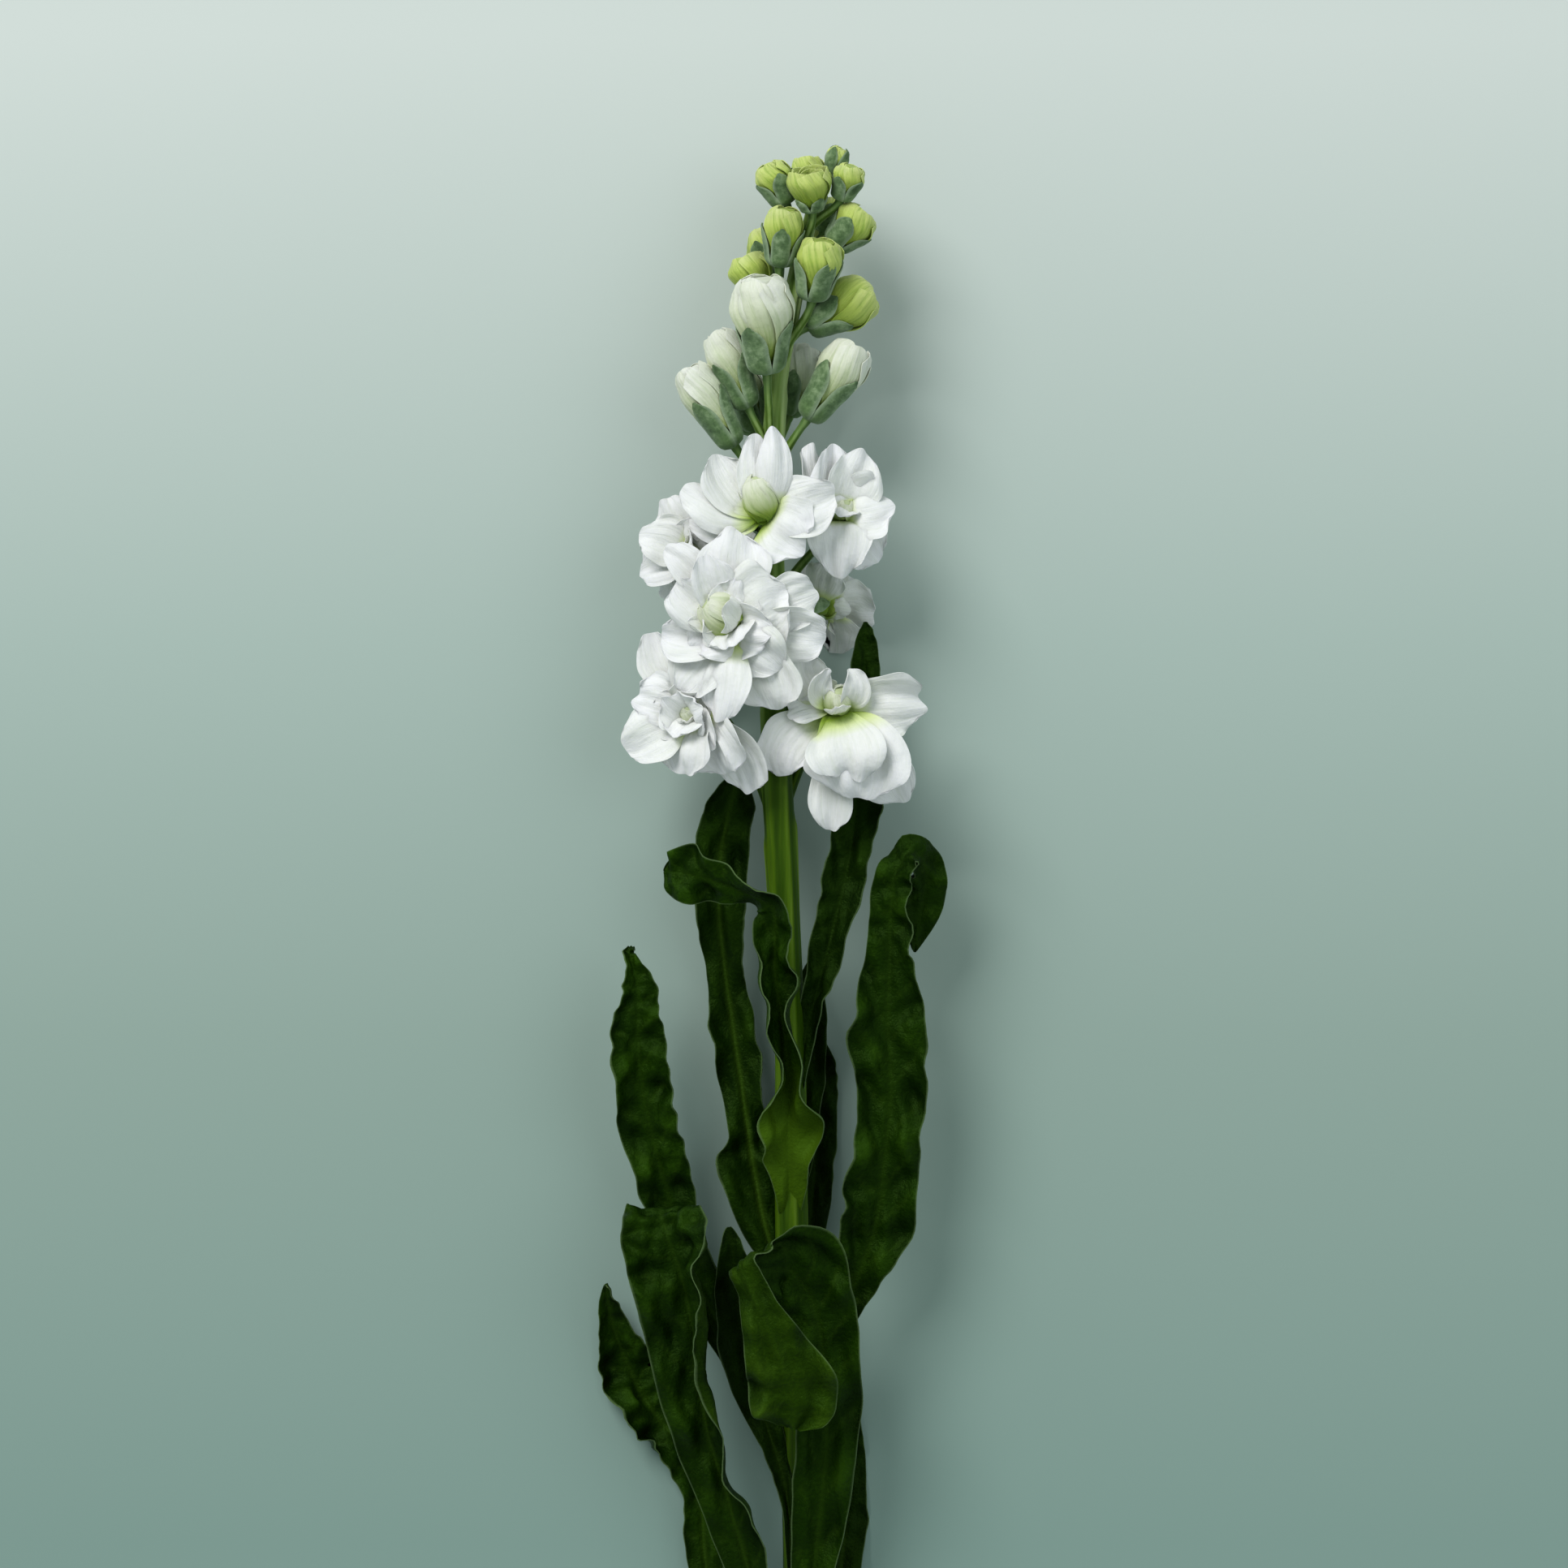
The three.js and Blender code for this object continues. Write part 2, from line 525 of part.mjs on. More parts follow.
// A tube along a curve, with a radius for each share of its length.
function tube(curve, radiusAt, sides, steps, grow = 0) {
  const rings = [];
  const frames = curve.computeFrenetFrames(steps, false);
  for (let i = 0; i <= steps; i++) {
    const centre = curve.getPointAt(i / steps);
    const radius = radiusAt(i / steps) + grow;
    rings.push(
      Array.from({ length: sides }, (_, j) => {
        const angle = (2 * Math.PI * j) / sides;
        return centre
          .clone()
          .addScaledVector(frames.normals[i], radius * Math.cos(angle))
          .addScaledVector(frames.binormals[i], radius * Math.sin(angle));
      }),
    );
  }
  const start = curve.getPointAt(0).addScaledVector(frames.tangents[0], -grow);
  const end = curve.getPointAt(1).addScaledVector(frames.tangents[steps], grow);
  return ringed(rings, start, end);
}

// The stem
const stemAt = (u) => alongRows(STEM, u);
const stemCurve = new THREE.CatmullRomCurve3(STEM.map(([x, y, z]) => vec(x, y, z)));

// The share of the way along STEM at a height y.
function stemShare(y) {
  const i = clamp(STEM.findIndex((row) => row[1] > y) - 1, 0, STEM.length - 2);
  return (i + (y - STEM[i][1]) / (STEM[i + 1][1] - STEM[i][1])) / (STEM.length - 1);
}

function stemBody(grow) {
  const radiusAt = (u) => {
    const y = stemCurve.getPointAt(u).y;
    return stemAt(stemShare(clamp(y, STEM[0][1], STEM.at(-1)[1])))[3];
  };
  return tube(stemCurve, radiusAt, STEM_SIDES, STEM_STEPS, grow);
}

// A ring of points round an axis: at gives the height and radius of point j.
function ringAround(foot, axis, at, sides = BUD_SIDES) {
  const [side, up] = squareTo(axis);
  return Array.from({ length: sides }, (_, j) => {
    const angle = (2 * Math.PI * j) / sides;
    const [height, radius] = at(j, angle);
    return foot
      .clone()
      .addScaledVector(axis, height)
      .addScaledVector(side, radius * Math.cos(angle))
      .addScaledVector(up, radius * Math.sin(angle));
  });
}

// Where a cup has its rings, as shares of its length: a long one has one more.
const cupShares = (cover) => (cover > 0.7 ? [0.45, 0.75, 1] : [0.45, 1]);

// The stalk of a bud or flower, from inside the stem at height root, and the cup of four sepals on it.
// inside gives the radius of what the cup holds at a height.
function stalkAndCup({ foot, axis, root, cover }, length, inside, spread, grow) {
  const [x, y, z] = stemAt(stemShare(root));
  const reach = Math.min(9, 0.4 * (foot.y - root));
  const curve = new THREE.CubicBezierCurve3(
    vec(x, y, z),
    vec(x, y + reach, z).lerp(foot, 0.25),
    foot.clone().addScaledVector(axis, -reach),
    foot.clone().addScaledVector(axis, -1),
  );
  const rings = [];
  for (let i = 0; i <= PEDICEL_STEPS; i++) {
    const share = i / PEDICEL_STEPS;
    const radius = PEDICEL_RADIUS * (1.25 - 0.35 * share) + grow;
    rings.push(ringAround(curve.getPointAt(share), curve.getTangentAt(share), () => [0, radius]));
  }
  const cup = (share, extra) =>
    ringAround(foot, axis, (j) => {
      const tip = j % 2 === 1;
      const height = length * (tip || share < 0.5 ? share : 0.68 * share);
      const flare = tip ? spread * share * share : 0;
      const rise = share === 1 ? 1.2 * grow : 0;
      return [height + rise, inside(height) + GAP + CUP_SLACK + extra + flare];
    });
  const shares = cupShares(cover);
  rings.push(cup(0.12, SEPAL_THICK + grow));
  for (const share of shares) rings.push(cup(share, SEPAL_THICK + grow));
  for (const share of shares.reverse()) rings.push(cup(share, -grow));
  return ringed(rings, vec(x, y, z), foot.clone().addScaledVector(axis, 0.4 + grow));
}

// Buds
function budForm(row) {
  const foot = vec(...row.slice(0, 3));
  const tip = vec(...row.slice(3, 6));
  const [radius, cover, open, root] = row.slice(6);
  const length = tip.distanceTo(foot);
  const axis = tip.clone().sub(foot).normalize();
  return { foot, axis, length, radius, cover, open, root };
}

// Radius of the ball of petals at a height above the foot: slim in the calyx, and full above it.
const BUD_PROFILE = [0, 0.44, 0.66, 0.88, 1.0, 0.88, 0.5];

function budRadius({ length, radius }, height) {
  const at = clamp(height / length, 0, 0.999) * (BUD_PROFILE.length - 1);
  const i = Math.floor(at);
  return radius * THREE.MathUtils.lerp(BUD_PROFILE[i], BUD_PROFILE[i + 1], at - i);
}

function budPetals(form, key, grow) {
  const { foot, axis, length, cover, open } = form;
  const turn = 2 * Math.PI * noise(key);
  const shares = cupShares(cover).map((share) => share * cover);
  for (const step of [0.4, 0.8]) shares.push(cover + (1 - cover) * step);
  const rings = shares.map((share) =>
    ringAround(foot, axis, (_, angle) => {
      const fold = 1 - 0.08 * share * (1 + Math.sin(3 * angle + 4 * share + turn));
      return [share * length, budRadius(form, share * length) * fold + grow];
    }),
  );
  const start = foot.clone().addScaledVector(axis, 0.4 + GAP + 0.2 - grow);
  const end = foot.clone().addScaledVector(axis, length * (1 - 0.1 * open) + grow);
  return ringed(rings, start, end);
}

function budGreen(form, grow) {
  const inside = (height) => budRadius(form, height);
  return stalkAndCup(form, form.length * form.cover, inside, 0, grow);
}

// Open flowers
function bloomForm({ throat, axis, root }) {
  const middle = vec(...throat);
  const out = vec(...axis).normalize();
  const foot = middle.clone().addScaledVector(out, -NECK_LENGTH);
  return { middle, out, axis: out, root, foot };
}

// Half width of a petal at u: a narrow claw, a broad blade and a blunt round end.
function petalWidth(u) {
  if (u < 0.58) return 0.2 + 0.8 * Math.sin((Math.PI / 2) * (u / 0.58));
  return Math.sqrt(1 - ((u - 0.58) / 0.47) ** 2);
}

function petalSurface({ middle, out }, [mx, my, mz, tx, ty, tz, half, roll], key) {
  const via = vec(mx, my, mz);
  const tip = vec(tx, ty, tz);
  const root = middle.clone();
  const outward = via.clone().sub(root);
  outward.addScaledVector(out, -outward.dot(out)).normalize();
  root.addScaledVector(outward, 0.6 * NECK_RADIUS);
  // A petal that leans further out roots lower, so that the layers stack rather than cross.
  const rise = clamp(0.25 * tip.clone().sub(middle).dot(out), -3, 2.4);
  root.addScaledVector(out, rise - 1);
  const handle = via.multiplyScalar(2).addScaledVector(root.clone().add(tip), -0.5);
  const midline = new THREE.QuadraticBezierCurve3(root, handle, tip);
  const chord = tip.clone().sub(root).normalize();
  const flat = chord.clone().cross(out).applyAxisAngle(chord, radians(PINWHEEL)).normalize();
  const phase = 2 * Math.PI * noise(key);
  return (u, v) => {
    const along = midline.getTangent(u);
    const across = flat.clone().addScaledVector(along, -along.dot(flat)).normalize();
    const facing = across.clone().cross(along);
    const width = half * petalWidth(clamp(u, 0, 1)) * v;
    const bend = radians(roll) * Math.abs(v);
    const ruffle = 0.07 * half * u * v * v * Math.sin(7 * u + 3.2 * v + phase);
    const point = midline
      .getPoint(u)
      .addScaledVector(along, -0.18 * half * v * v * u * u)
      .addScaledVector(across, width * (1 - (bend * bend) / 8))
      .addScaledVector(facing, (Math.abs(width) * Math.sin(bend)) / 2 + ruffle);
    return onTable(point, PETAL_THICK);
  };
}

// The petals set around the axis by rule in two layers, as rows like the placed ones.
function ringPetals(form, [count, length, lean, half], key) {
  const [side, up] = squareTo(form.out);
  return Array.from({ length: count }, (_, i) => {
    const inner = i % 2;
    const angle = (2 * Math.PI * (i + 0.3 * noise(key + i))) / count + key;
    const tilt = radians(lean - 28 * inner);
    const reach = length * (inner ? 0.84 : 1) * (0.92 + 0.16 * noise(key + i + 40));
    const place = (share, lean) =>
      form.middle
        .clone()
        .addScaledVector(form.out, share * reach * Math.cos(lean))
        .addScaledVector(side, share * reach * Math.sin(lean) * Math.cos(angle))
        .addScaledVector(up, share * reach * Math.sin(lean) * Math.sin(angle))
        .toArray();
    return [...place(0.5, tilt - 0.25), ...place(1, tilt), half, 25];
  });
}

// The core of a flower: the bundle of claws in its calyx, and the knot of unopened petals above.
function bloomCore(form, [dx, dy, dz, radius, length], grow) {
  const towards = vec(dx, dy, dz).normalize();
  const between = towards.clone().add(form.out).normalize();
  const ring = (from, axis, height, size) =>
    ringAround(from.clone().addScaledVector(axis, height), axis, () => [0, size + grow], 6);
  const rings = [
    ring(form.foot, form.out, 1.2, 0.8 * NECK_RADIUS),
    ring(form.middle, between, -0.5, 1.15 * NECK_RADIUS),
    ring(form.middle, towards, 0.35 * length, radius),
    ring(form.middle, towards, 0.75 * length, 0.85 * radius),
  ];
  const start = form.foot.clone().addScaledVector(form.out, 0.9 - grow);
  const end = form.middle.clone().addScaledVector(towards, length + grow);
  return ringed(rings, start, end);
}

function bloomWhite(bloom, key, grow) {
  const form = bloomForm(bloom);
  const petal = (steps) => (row, i) =>
    blade(petalSurface(form, row, key * 31 + i), steps, PETAL_THICK, grow);
  const petals = [
    ...(bloom.petals ?? []).map(petal(PETAL_STEPS)),
    ...ringPetals(form, bloom.ring ?? [0], key).map(petal(RING_PETAL_STEPS)),
  ];
  return join([bloomCore(form, bloom.heart, grow), ...petals]);
}

function bloomGreen(bloom, grow) {
  return stalkAndCup(bloomForm(bloom), BLOOM_CALYX, () => NECK_RADIUS * 1.15, 0.6, grow);
}

// Leaves
function leafSurface({ stations, wave: [height, count] }, key) {
  const phase = 2 * Math.PI * noise(key);
  const midrib = (u) => vec(...alongRows(stations, u).slice(0, 3));
  return (u, v) => {
    const row = alongRows(stations, u);
    const [half, left, right] = row.slice(6);
    const step = u > 0.5 ? -1e-3 : 1e-3;
    const along = midrib(u + step).sub(midrib(u)).multiplyScalar(Math.sign(step)).normalize();
    const across = vec(...row.slice(3, 6));
    across.addScaledVector(along, -across.dot(along)).normalize();
    const facing = across.clone().cross(along);
    // The half blade bends on an arc, from a little of its roll at the midrib to all of it at the margin.
    const roll = radians(v < 0 ? left : right);
    const first = 0.25 * roll;
    const bend = Math.max(0.75 * roll, 1e-4);
    const share = Math.abs(v);
    const sideways = (half * (Math.sin(first + bend * share) - Math.sin(first))) / bend;
    const lift = (half * (Math.cos(first) - Math.cos(first + bend * share))) / bend;
    const ruffle =
      height * share * share * Math.sin(2 * Math.PI * count * u + phase + (v < 0 ? 0 : 2));
    const point = midrib(u)
      .addScaledVector(across, Math.sign(v) * sideways)
      .addScaledVector(facing, lift + ruffle * Math.sin(Math.PI * clamp(u, 0, 1)));
    return onTable(point, LEAF_THICK);
  };
}

function leafBlade(leaf, key, grow) {
  const width = 2 * Math.max(...leaf.stations.map((row) => row[6]));
  const across = width < NARROW_LEAF ? NARROW_LEAF_STEPS_ACROSS : LEAF_STEPS_ACROSS;
  const steps = [leaf.stations.length - 1, across];
  return blade(leafSurface(leaf, key), steps, LEAF_THICK, grow);
}

// Everything above the table, which is a flat box of air below z = 0.
function tableBox() {
  const slab = new THREE.BoxGeometry(400, 800, 60).translate(0, 0, -30);
  const corners = [];
  const seen = new Map();
  const position = slab.getAttribute("position");
  const merged = Array.from(slab.index.array, (i) => {
    const name = [position.getX(i), position.getY(i), position.getZ(i)].join();
    if (!seen.has(name)) {
      seen.set(name, corners.length);
      corners.push(vec(position.getX(i), position.getY(i), position.getZ(i)));
    }
    return seen.get(name);
  });
  const faces = Array.from({ length: merged.length / 3 }, (_, k) => merged.slice(3 * k, 3 * k + 3));
  return solid(corners, faces);
}

// Assembly. Each piece is made as it is, and again grown by CUT, which is cut out of every later piece.
const budForms = Object.values(BUDS).map(budForm);
const blooms = Object.values(BLOOMS);
const pieces = [
  {
    name: "stem",
    finish: STEM_FINISH,
    make: (grow) =>
      join([
        stemBody(grow),
        ...budForms.map((form) => budGreen(form, grow)),
        ...blooms.map((bloom) => bloomGreen(bloom, grow)),
      ]),
  },
  ...Object.keys(BUDS).map((name, k) => ({
    name,
    finish: BUD_FINISH,
    make: (grow) => budPetals(budForms[k], k, grow),
  })),
  ...Object.keys(BLOOMS).map((name, k) => ({
    name,
    finish: PETAL_FINISH,
    make: (grow) => bloomWhite(blooms[k], k + 1, grow),
  })),
  ...Object.keys(LEAVES).map((name, k) => ({
    name,
    finish: LEAF_FINISH,
    make: (grow) => leafBlade(LEAVES[name], k, grow),
  })),
];

// The largest body of a solid: cutting can leave small scraps beside it.
function largest(made) {
  const bodies = made.decompose();
  return bodies.reduce((best, next) => (next.volume() > best.volume() ? next : best));
}

function meshOf(made, name, finish) {
  const { vertProperties, triVerts } = made.getMesh();
  const geometry = new THREE.BufferGeometry();
  geometry.setAttribute("position", new THREE.BufferAttribute(vertProperties, 3));
  geometry.setIndex(new THREE.BufferAttribute(triVerts, 1));
  const mesh = new THREE.Mesh(geometry, new THREE.MeshStandardMaterial(finish));
  mesh.name = name;
  return mesh;
}

const stockStem = new THREE.Group();
const table = tableBox();
const taken = [];
for (const { name, finish, make } of pieces) {
  const cut = [table, ...taken].reduce((made, next) => made.subtract(next), make(0));
  stockStem.add(meshOf(largest(cut), name, finish));
  taken.push(make(CUT));
}

export default stockStem;
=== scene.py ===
# A cut stem of white double stock (Matthiola incana) lying on a pale table: the finished look of the part.
# The tables and rules are in millimetres, in the part's frame: +Y runs along the stem towards its tip,
# +X to the right and +Z up from the table. The meshes are in metres.
import math

import bpy
import numpy as np
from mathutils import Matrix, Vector


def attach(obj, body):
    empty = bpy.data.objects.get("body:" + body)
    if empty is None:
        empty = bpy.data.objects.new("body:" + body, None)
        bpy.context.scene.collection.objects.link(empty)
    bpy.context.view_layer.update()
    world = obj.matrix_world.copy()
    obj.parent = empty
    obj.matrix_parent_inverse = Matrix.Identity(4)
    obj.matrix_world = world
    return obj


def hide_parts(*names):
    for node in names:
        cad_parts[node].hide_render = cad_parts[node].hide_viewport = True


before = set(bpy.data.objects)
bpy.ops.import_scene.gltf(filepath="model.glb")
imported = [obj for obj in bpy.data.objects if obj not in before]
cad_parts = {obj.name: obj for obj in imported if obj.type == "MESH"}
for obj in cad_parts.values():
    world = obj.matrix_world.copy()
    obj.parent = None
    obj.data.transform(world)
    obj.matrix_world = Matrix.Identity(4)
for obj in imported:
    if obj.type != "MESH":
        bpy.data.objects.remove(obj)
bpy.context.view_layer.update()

# Driving sizes
GAP = 0.3  # between a sepal and what it holds
NECK_RADIUS = 1.9  # of the bundle of claws inside an open flower's cup
NECK_LENGTH = 11
PINWHEEL = 12  # degrees that a petal turns about its own middle line
PEDICEL_RADIUS = 1.0
BLOOM_CALYX = 9.5  # length of the sepals of an open flower
PETAL_THICK = 0.42
LEAF_THICK = 0.62
LEAF_HALF = 9  # half the width of a broad leaf, where its relief is at its full height
LEAF_TIP = 9  # how much of a leaf's end is rounded
VEIN_SPACING = 9.0
BLADE_CLEARANCE = 0.06  # the lowest that a face of a blade may lie
STEM_CLEARANCE = 0.02
PINCHED = 0.1  # a blade thinner than this is opened again by OPENED
OPENED = 0.3

# Relief of the main stem, as shares of its radius, and how far a ridge runs down below its stalk
STEM_RIDGE = 0.26
STEM_GRAIN = 0.012
RIDGE_LENGTH = 26

# Relief of a petal, as shares of half its width
PETAL_RUFFLE = 0.07
PETAL_FOLD = 0.18
PETAL_PLEAT = 0.04
PETAL_FRILL = 0.14
PETAL_CRINKLE = 0.02
PETAL_LOBES = 0.1

# Relief of a leaf
MIDRIB_DEPTH = 0.35
LEAF_QUILT = 2.4
LEAF_PUCKER = 1.0
LEAF_GRAIN = 0.06
LEAF_NICKS = 0.25

# Steps along and across each kind of surface
LEAF_GRID = (130, 30)
PETAL_GRID = (24, 20)
SHELL_GRID = (18, 16)
SEPAL_GRID = (18, 12)
STEM_GRID = (260, 72)
STALK_GRID = (18, 14)

# Main stem: x, y, z, radius at points from the cut end to the tip
STEM = [
    [7, -220, 3.95, 4.3], [7.3, -170, 7.2, 4.2], [7, -130, 9.3, 4.1],
    [6, -90, 11.5, 4.0], [5, -45, 14.0, 4.0], [4.5, 0, 16.5, 3.7],
    [3, 35, 18.4, 3.7], [1.5, 65, 20, 3.6], [0.5, 100, 22, 3.2],
    [0, 130, 23, 2.8], [0.5, 150, 23.6, 2.5], [2, 165, 24, 2.3],
    [4.8, 180, 24.4, 2.0], [7.2, 192, 24.8, 1.8], [9.5, 202, 25, 1.5],
    [12.3, 209, 25.2, 1.2], [14.2, 213, 25.3, 1.0],
]

# Leaves. Each station is x, y, z of the midrib, half the width, how far the left and the right half roll
# up, in degrees at the margin, and the direction across the blade where that isn't +X. wave is the height
# of the waves in the margin and how many there are. rib is how pale the midrib is, if not 1, shade is the
# painted shade of a leaf lying in shadow, how dark its blade is painted from 0 to 1, and sheath is the
# share of its length that is pale.
ACROSS = [1, 0, 0]
LEAVES = {
    "leaf_front_fold": {"wave": [0.5, 4], "rib": 0.3, "stations": [
        [7.5, -160, 10.5, 2.6, 20, 20], [9.5, -140, 15, 4.8, 25, 25], [12, -118, 20, 7, 22, 22],
        [13.8, -97, 24, 8, 18, 18], [13, -78, 27.5, 9.3, 14, 14], [10.5, -65, 30, 10.2, 8, 8, 1, 0.15, 0],
        [5, -56.5, 33, 14, 4, 4, 0.85, 0.53, 0], [-2.5, -55.5, 38, 6.4, 4, 4, 0.15, 0.95, 0.25],
        [-7.2, -54, 41.8, 4.4, 4, 4, 0.5, 0.4, 0.75], [-3.6, -63, 43.5, 4.6, 6, 6, 1, 0.3, 0.2],
        [0.8, -74, 42.5, 7.8, 8, 8, 1, 0.3, 0], [5.4, -86.5, 39, 11.2, 10, 10, 1, 0.12, 0],
        [5.6, -95, 36.5, 7, 8, 8],
    ]},
    "leaf_left_roll": {"wave": [0.5, 5], "rib": 0.6, "shade": 0.15, "stations": [
        [3.5, -164, 9.5, 2.4, 20, 20], [-1.5, -146, 14, 4.2, 20, 30], [-6, -130, 18, 5.6, 20, 50],
        [-10.5, -114, 21.5, 7.2, 15, 90], [-15, -99, 24.5, 8.5, 12, 120], [-18, -84, 27, 10.5, 12, 135],
        [-19.5, -70, 29, 12, 12, 135], [-22, -58, 31, 12.8, 10, 115], [-25, -49, 31.5, 12, 8, 60],
        [-27, -43.5, 30, 10, 6, 20], [-27.6, -41.6, 27, 7.6, 4, 10], [-27.8, -44.5, 24, 4.5, 4, 6],
    ]},
    "leaf_left_low": {"wave": [0.6, 4], "rib": 0.7, "stations": [
        [3, -182, 5.5, 2.2, 15, 15], [-6, -164, 6, 3.2, 15, 15], [-14, -146, 5, 4.0, 15, 15],
        [-16.8, -128, 4, 4.4, 15, 15], [-18, -113, 2.8, 5, 25, 15], [-24, -101, 1.0, 7.5, 60, 12],
        [-31, -92, 0.2, 9.5, 75, 10], [-36.5, -81, 0.8, 7.5, 50, 8],
        [-40, -70, 4.5, 3.6, 45, 20, 1, 0, 0.2], [-41, -61.5, 8.5, 1.2, 30, 30, 1, 0, 0.6],
    ]},
    "leaf_left_tall": {"wave": [0.8, 4], "rib": 0.3, "stations": [
        [4, -96, 7.5, 2, 15, 15], [-7, -82, 6.5, 3.6, 15, 15], [-17, -64, 8, 5.2, 20, 20],
        [-24, -44, 12.5, 6.5, 25, 25], [-28.5, -28, 16, 7.5, 30, 25], [-32, -12, 18.5, 7.8, 35, 25],
        [-33, 3, 20, 6.6, 45, 25], [-33, 13, 20.5, 4.4, 45, 25, 1, 0, -0.1],
        [-35, 21, 20.5, 1.5, 30, 30, 1, 0, -0.3], [-34, 22.5, 18.5, 0.8, 20, 20, 1, 0, -0.3],
    ]},
    "leaf_curl": {"wave": [0.9, 5], "rib": 0.5, "sheath": 0.3, "stations": [
        [4.6, -43, 16.5, 2.8, 10, 10], [4.6, -33, 20, 5.2, 30, 30], [4.4, -22, 23, 8.8, 55, 55],
        [4.2, -9, 25.5, 8, 105, 105], [2.6, 5, 27.5, 7, 115, 110], [0.8, 17, 29.5, 6.5, 105, 70, 1, 0, 0.1],
        [1, 26, 32, 5.6, 45, 25, 0.9, 0, 0.5], [0.5, 32.5, 34.5, 4.8, 12, 12, 0.4, 0.5, 0.75],
        [-6, 36.5, 35, 4.6, 10, 10, 0, 0.6, 0.8], [-13, 39, 34, 5.6, 12, 12, 0, 0.85, 0.5],
        [-20, 40.8, 32, 7.4, 16, 16, 0, 1, 0.1], [-24.6, 41.4, 30, 5.2, 12, 12, 0, 1, 0],
        [-26.2, 41.6, 28.8, 1.4, 12, 12, 0, 1, 0],
    ]},
    "leaf_back_left": {"wave": [1.6, 4], "rib": 2, "shade": 0.35, "stations": [
        [2, -58, 12, 2.4, 10, 10], [-1.8, -46, 11.5, 6.2, 15, 15], [-4.5, -32, 11, 9, 20, 15],
        [-6, -22, 10.8, 5.2, 25, 15], [-8, -8, 10.5, 5.8, 25, 15], [-9.8, 4, 10.5, 5.6, 25, 20],
        [-11.6, 17, 11, 4.8, 30, 20], [-13, 32, 12, 6.6, 35, 25], [-12.5, 46, 13, 7.4, 35, 25],
        [-10, 58, 13.5, 5.6, 30, 25], [-7, 68, 13.5, 1.2, 25, 25],
    ]},
    "leaf_right_slim": {"wave": [0.8, 5], "rib": 0.3, "shade": 0.5, "stations": [
        [6.5, -12, 17, 2, 30, 30], [9, 2, 17.5, 2.8, 45, 45, 1, 0, 0.2],
        [12, 14, 18.5, 4.2, 50, 45, 1, 0, 0.2], [15.5, 28, 19, 5.2, 45, 35, 1, 0, 0.2],
        [18.8, 42, 19, 5.8, 40, 30, 1, 0, 0.2], [21, 56, 18, 5.6, 30, 30, 1, 0, 0.1],
        [22.5, 72, 17, 5, 25, 25], [23, 87, 16.5, 4.2, 25, 25], [23.4, 97, 16.5, 3, 20, 20],
        [23.4, 103.2, 16.5, 0.8, 20, 20],
    ]},
    "leaf_right_tall": {"wave": [0.9, 5], "rib": 0.3, "shade": 0.1, "stations": [
        [6.5, -96, 11, 1.8, 15, 15], [13.5, -76, 14.5, 3.6, 20, 20], [20.5, -61, 17.5, 5.6, 25, 25],
        [26, -45, 20, 9.6, 30, 20], [28, -30, 21.5, 8.8, 30, 20], [29.6, -12, 22.5, 8.8, 25, 20],
        [28.8, 4, 23, 9.8, 25, 20], [29.2, 18, 23.5, 6.6, 25, 20, 1, 0, 0.1],
        [29.6, 30, 24.5, 5.4, 22, 20, 0.92, 0, 0.4], [30.6, 40.5, 26, 5, 16, 14, 0.8, -0.2, 0.5],
        [34.4, 46.2, 26.5, 5, 12, 10, 0, -0.76, 0.65], [38, 42, 23.5, 5.2, 10, 10, -0.85, -0.3, 0.45],
        [37.4, 33, 21, 5.2, 12, 12, -0.98, 0, 0.2], [35.4, 21.5, 19.5, 1.2, 10, 10, -1, 0, 0.2],
    ]},
    "leaf_back_small": {"wave": [0.5, 3], "shade": 0.4, "stations": [
        [6.5, -66, 9.5, 2.2, 10, 10], [9.4, -50, 6.5, 3.8, 12, 12], [10.8, -34, 4, 5, 15, 15],
        [11.2, -18, 3, 5.4, 15, 15], [11.6, -7, 3, 4.6, 15, 15], [12, 0, 3.5, 1.4, 15, 15],
    ]},
    "leaf_back_long": {"wave": [0.5, 3], "shade": 0.3, "stations": [
        [5.5, -42, 12, 2, 10, 10], [7.5, -26, 9.5, 4, 15, 15], [8.8, -8, 8.6, 4.8, 18, 18],
        [9.6, 8, 8.6, 4.4, 18, 18], [9.8, 19, 9.5, 1.6, 18, 18],
    ]},
    "leaf_low_left": {"wave": [0.6, 3], "shade": 0.6, "stations": [
        [6.5, -156, 11, 1.8, 20, 20], [5.6, -132, 13.5, 1.6, 20, 20], [3.6, -112, 14.5, 1.9, 20, 20],
        [-0.5, -98, 13.5, 3.8, 20, 15], [-5, -84, 12.5, 6, 15, 15], [-7.6, -69, 12, 6.2, 15, 15],
        [-9.2, -57, 12.5, 4.6, 20, 15], [-10.4, -47, 13.5, 1.4, 20, 15],
    ]},
    "leaf_low_right": {"wave": [0.6, 3], "shade": 0.6, "stations": [
        [8, -174, 5, 2.2, 10, 10], [14, -154, 3.2, 3.6, 12, 12], [17.6, -134, 1.8, 4.8, 14, 14],
        [18.8, -115, 0.2, 5, 14, 14], [18.6, -99, 0.2, 4.4, 14, 14], [17.8, -87, 1.8, 1.4, 14, 14],
    ]},
}

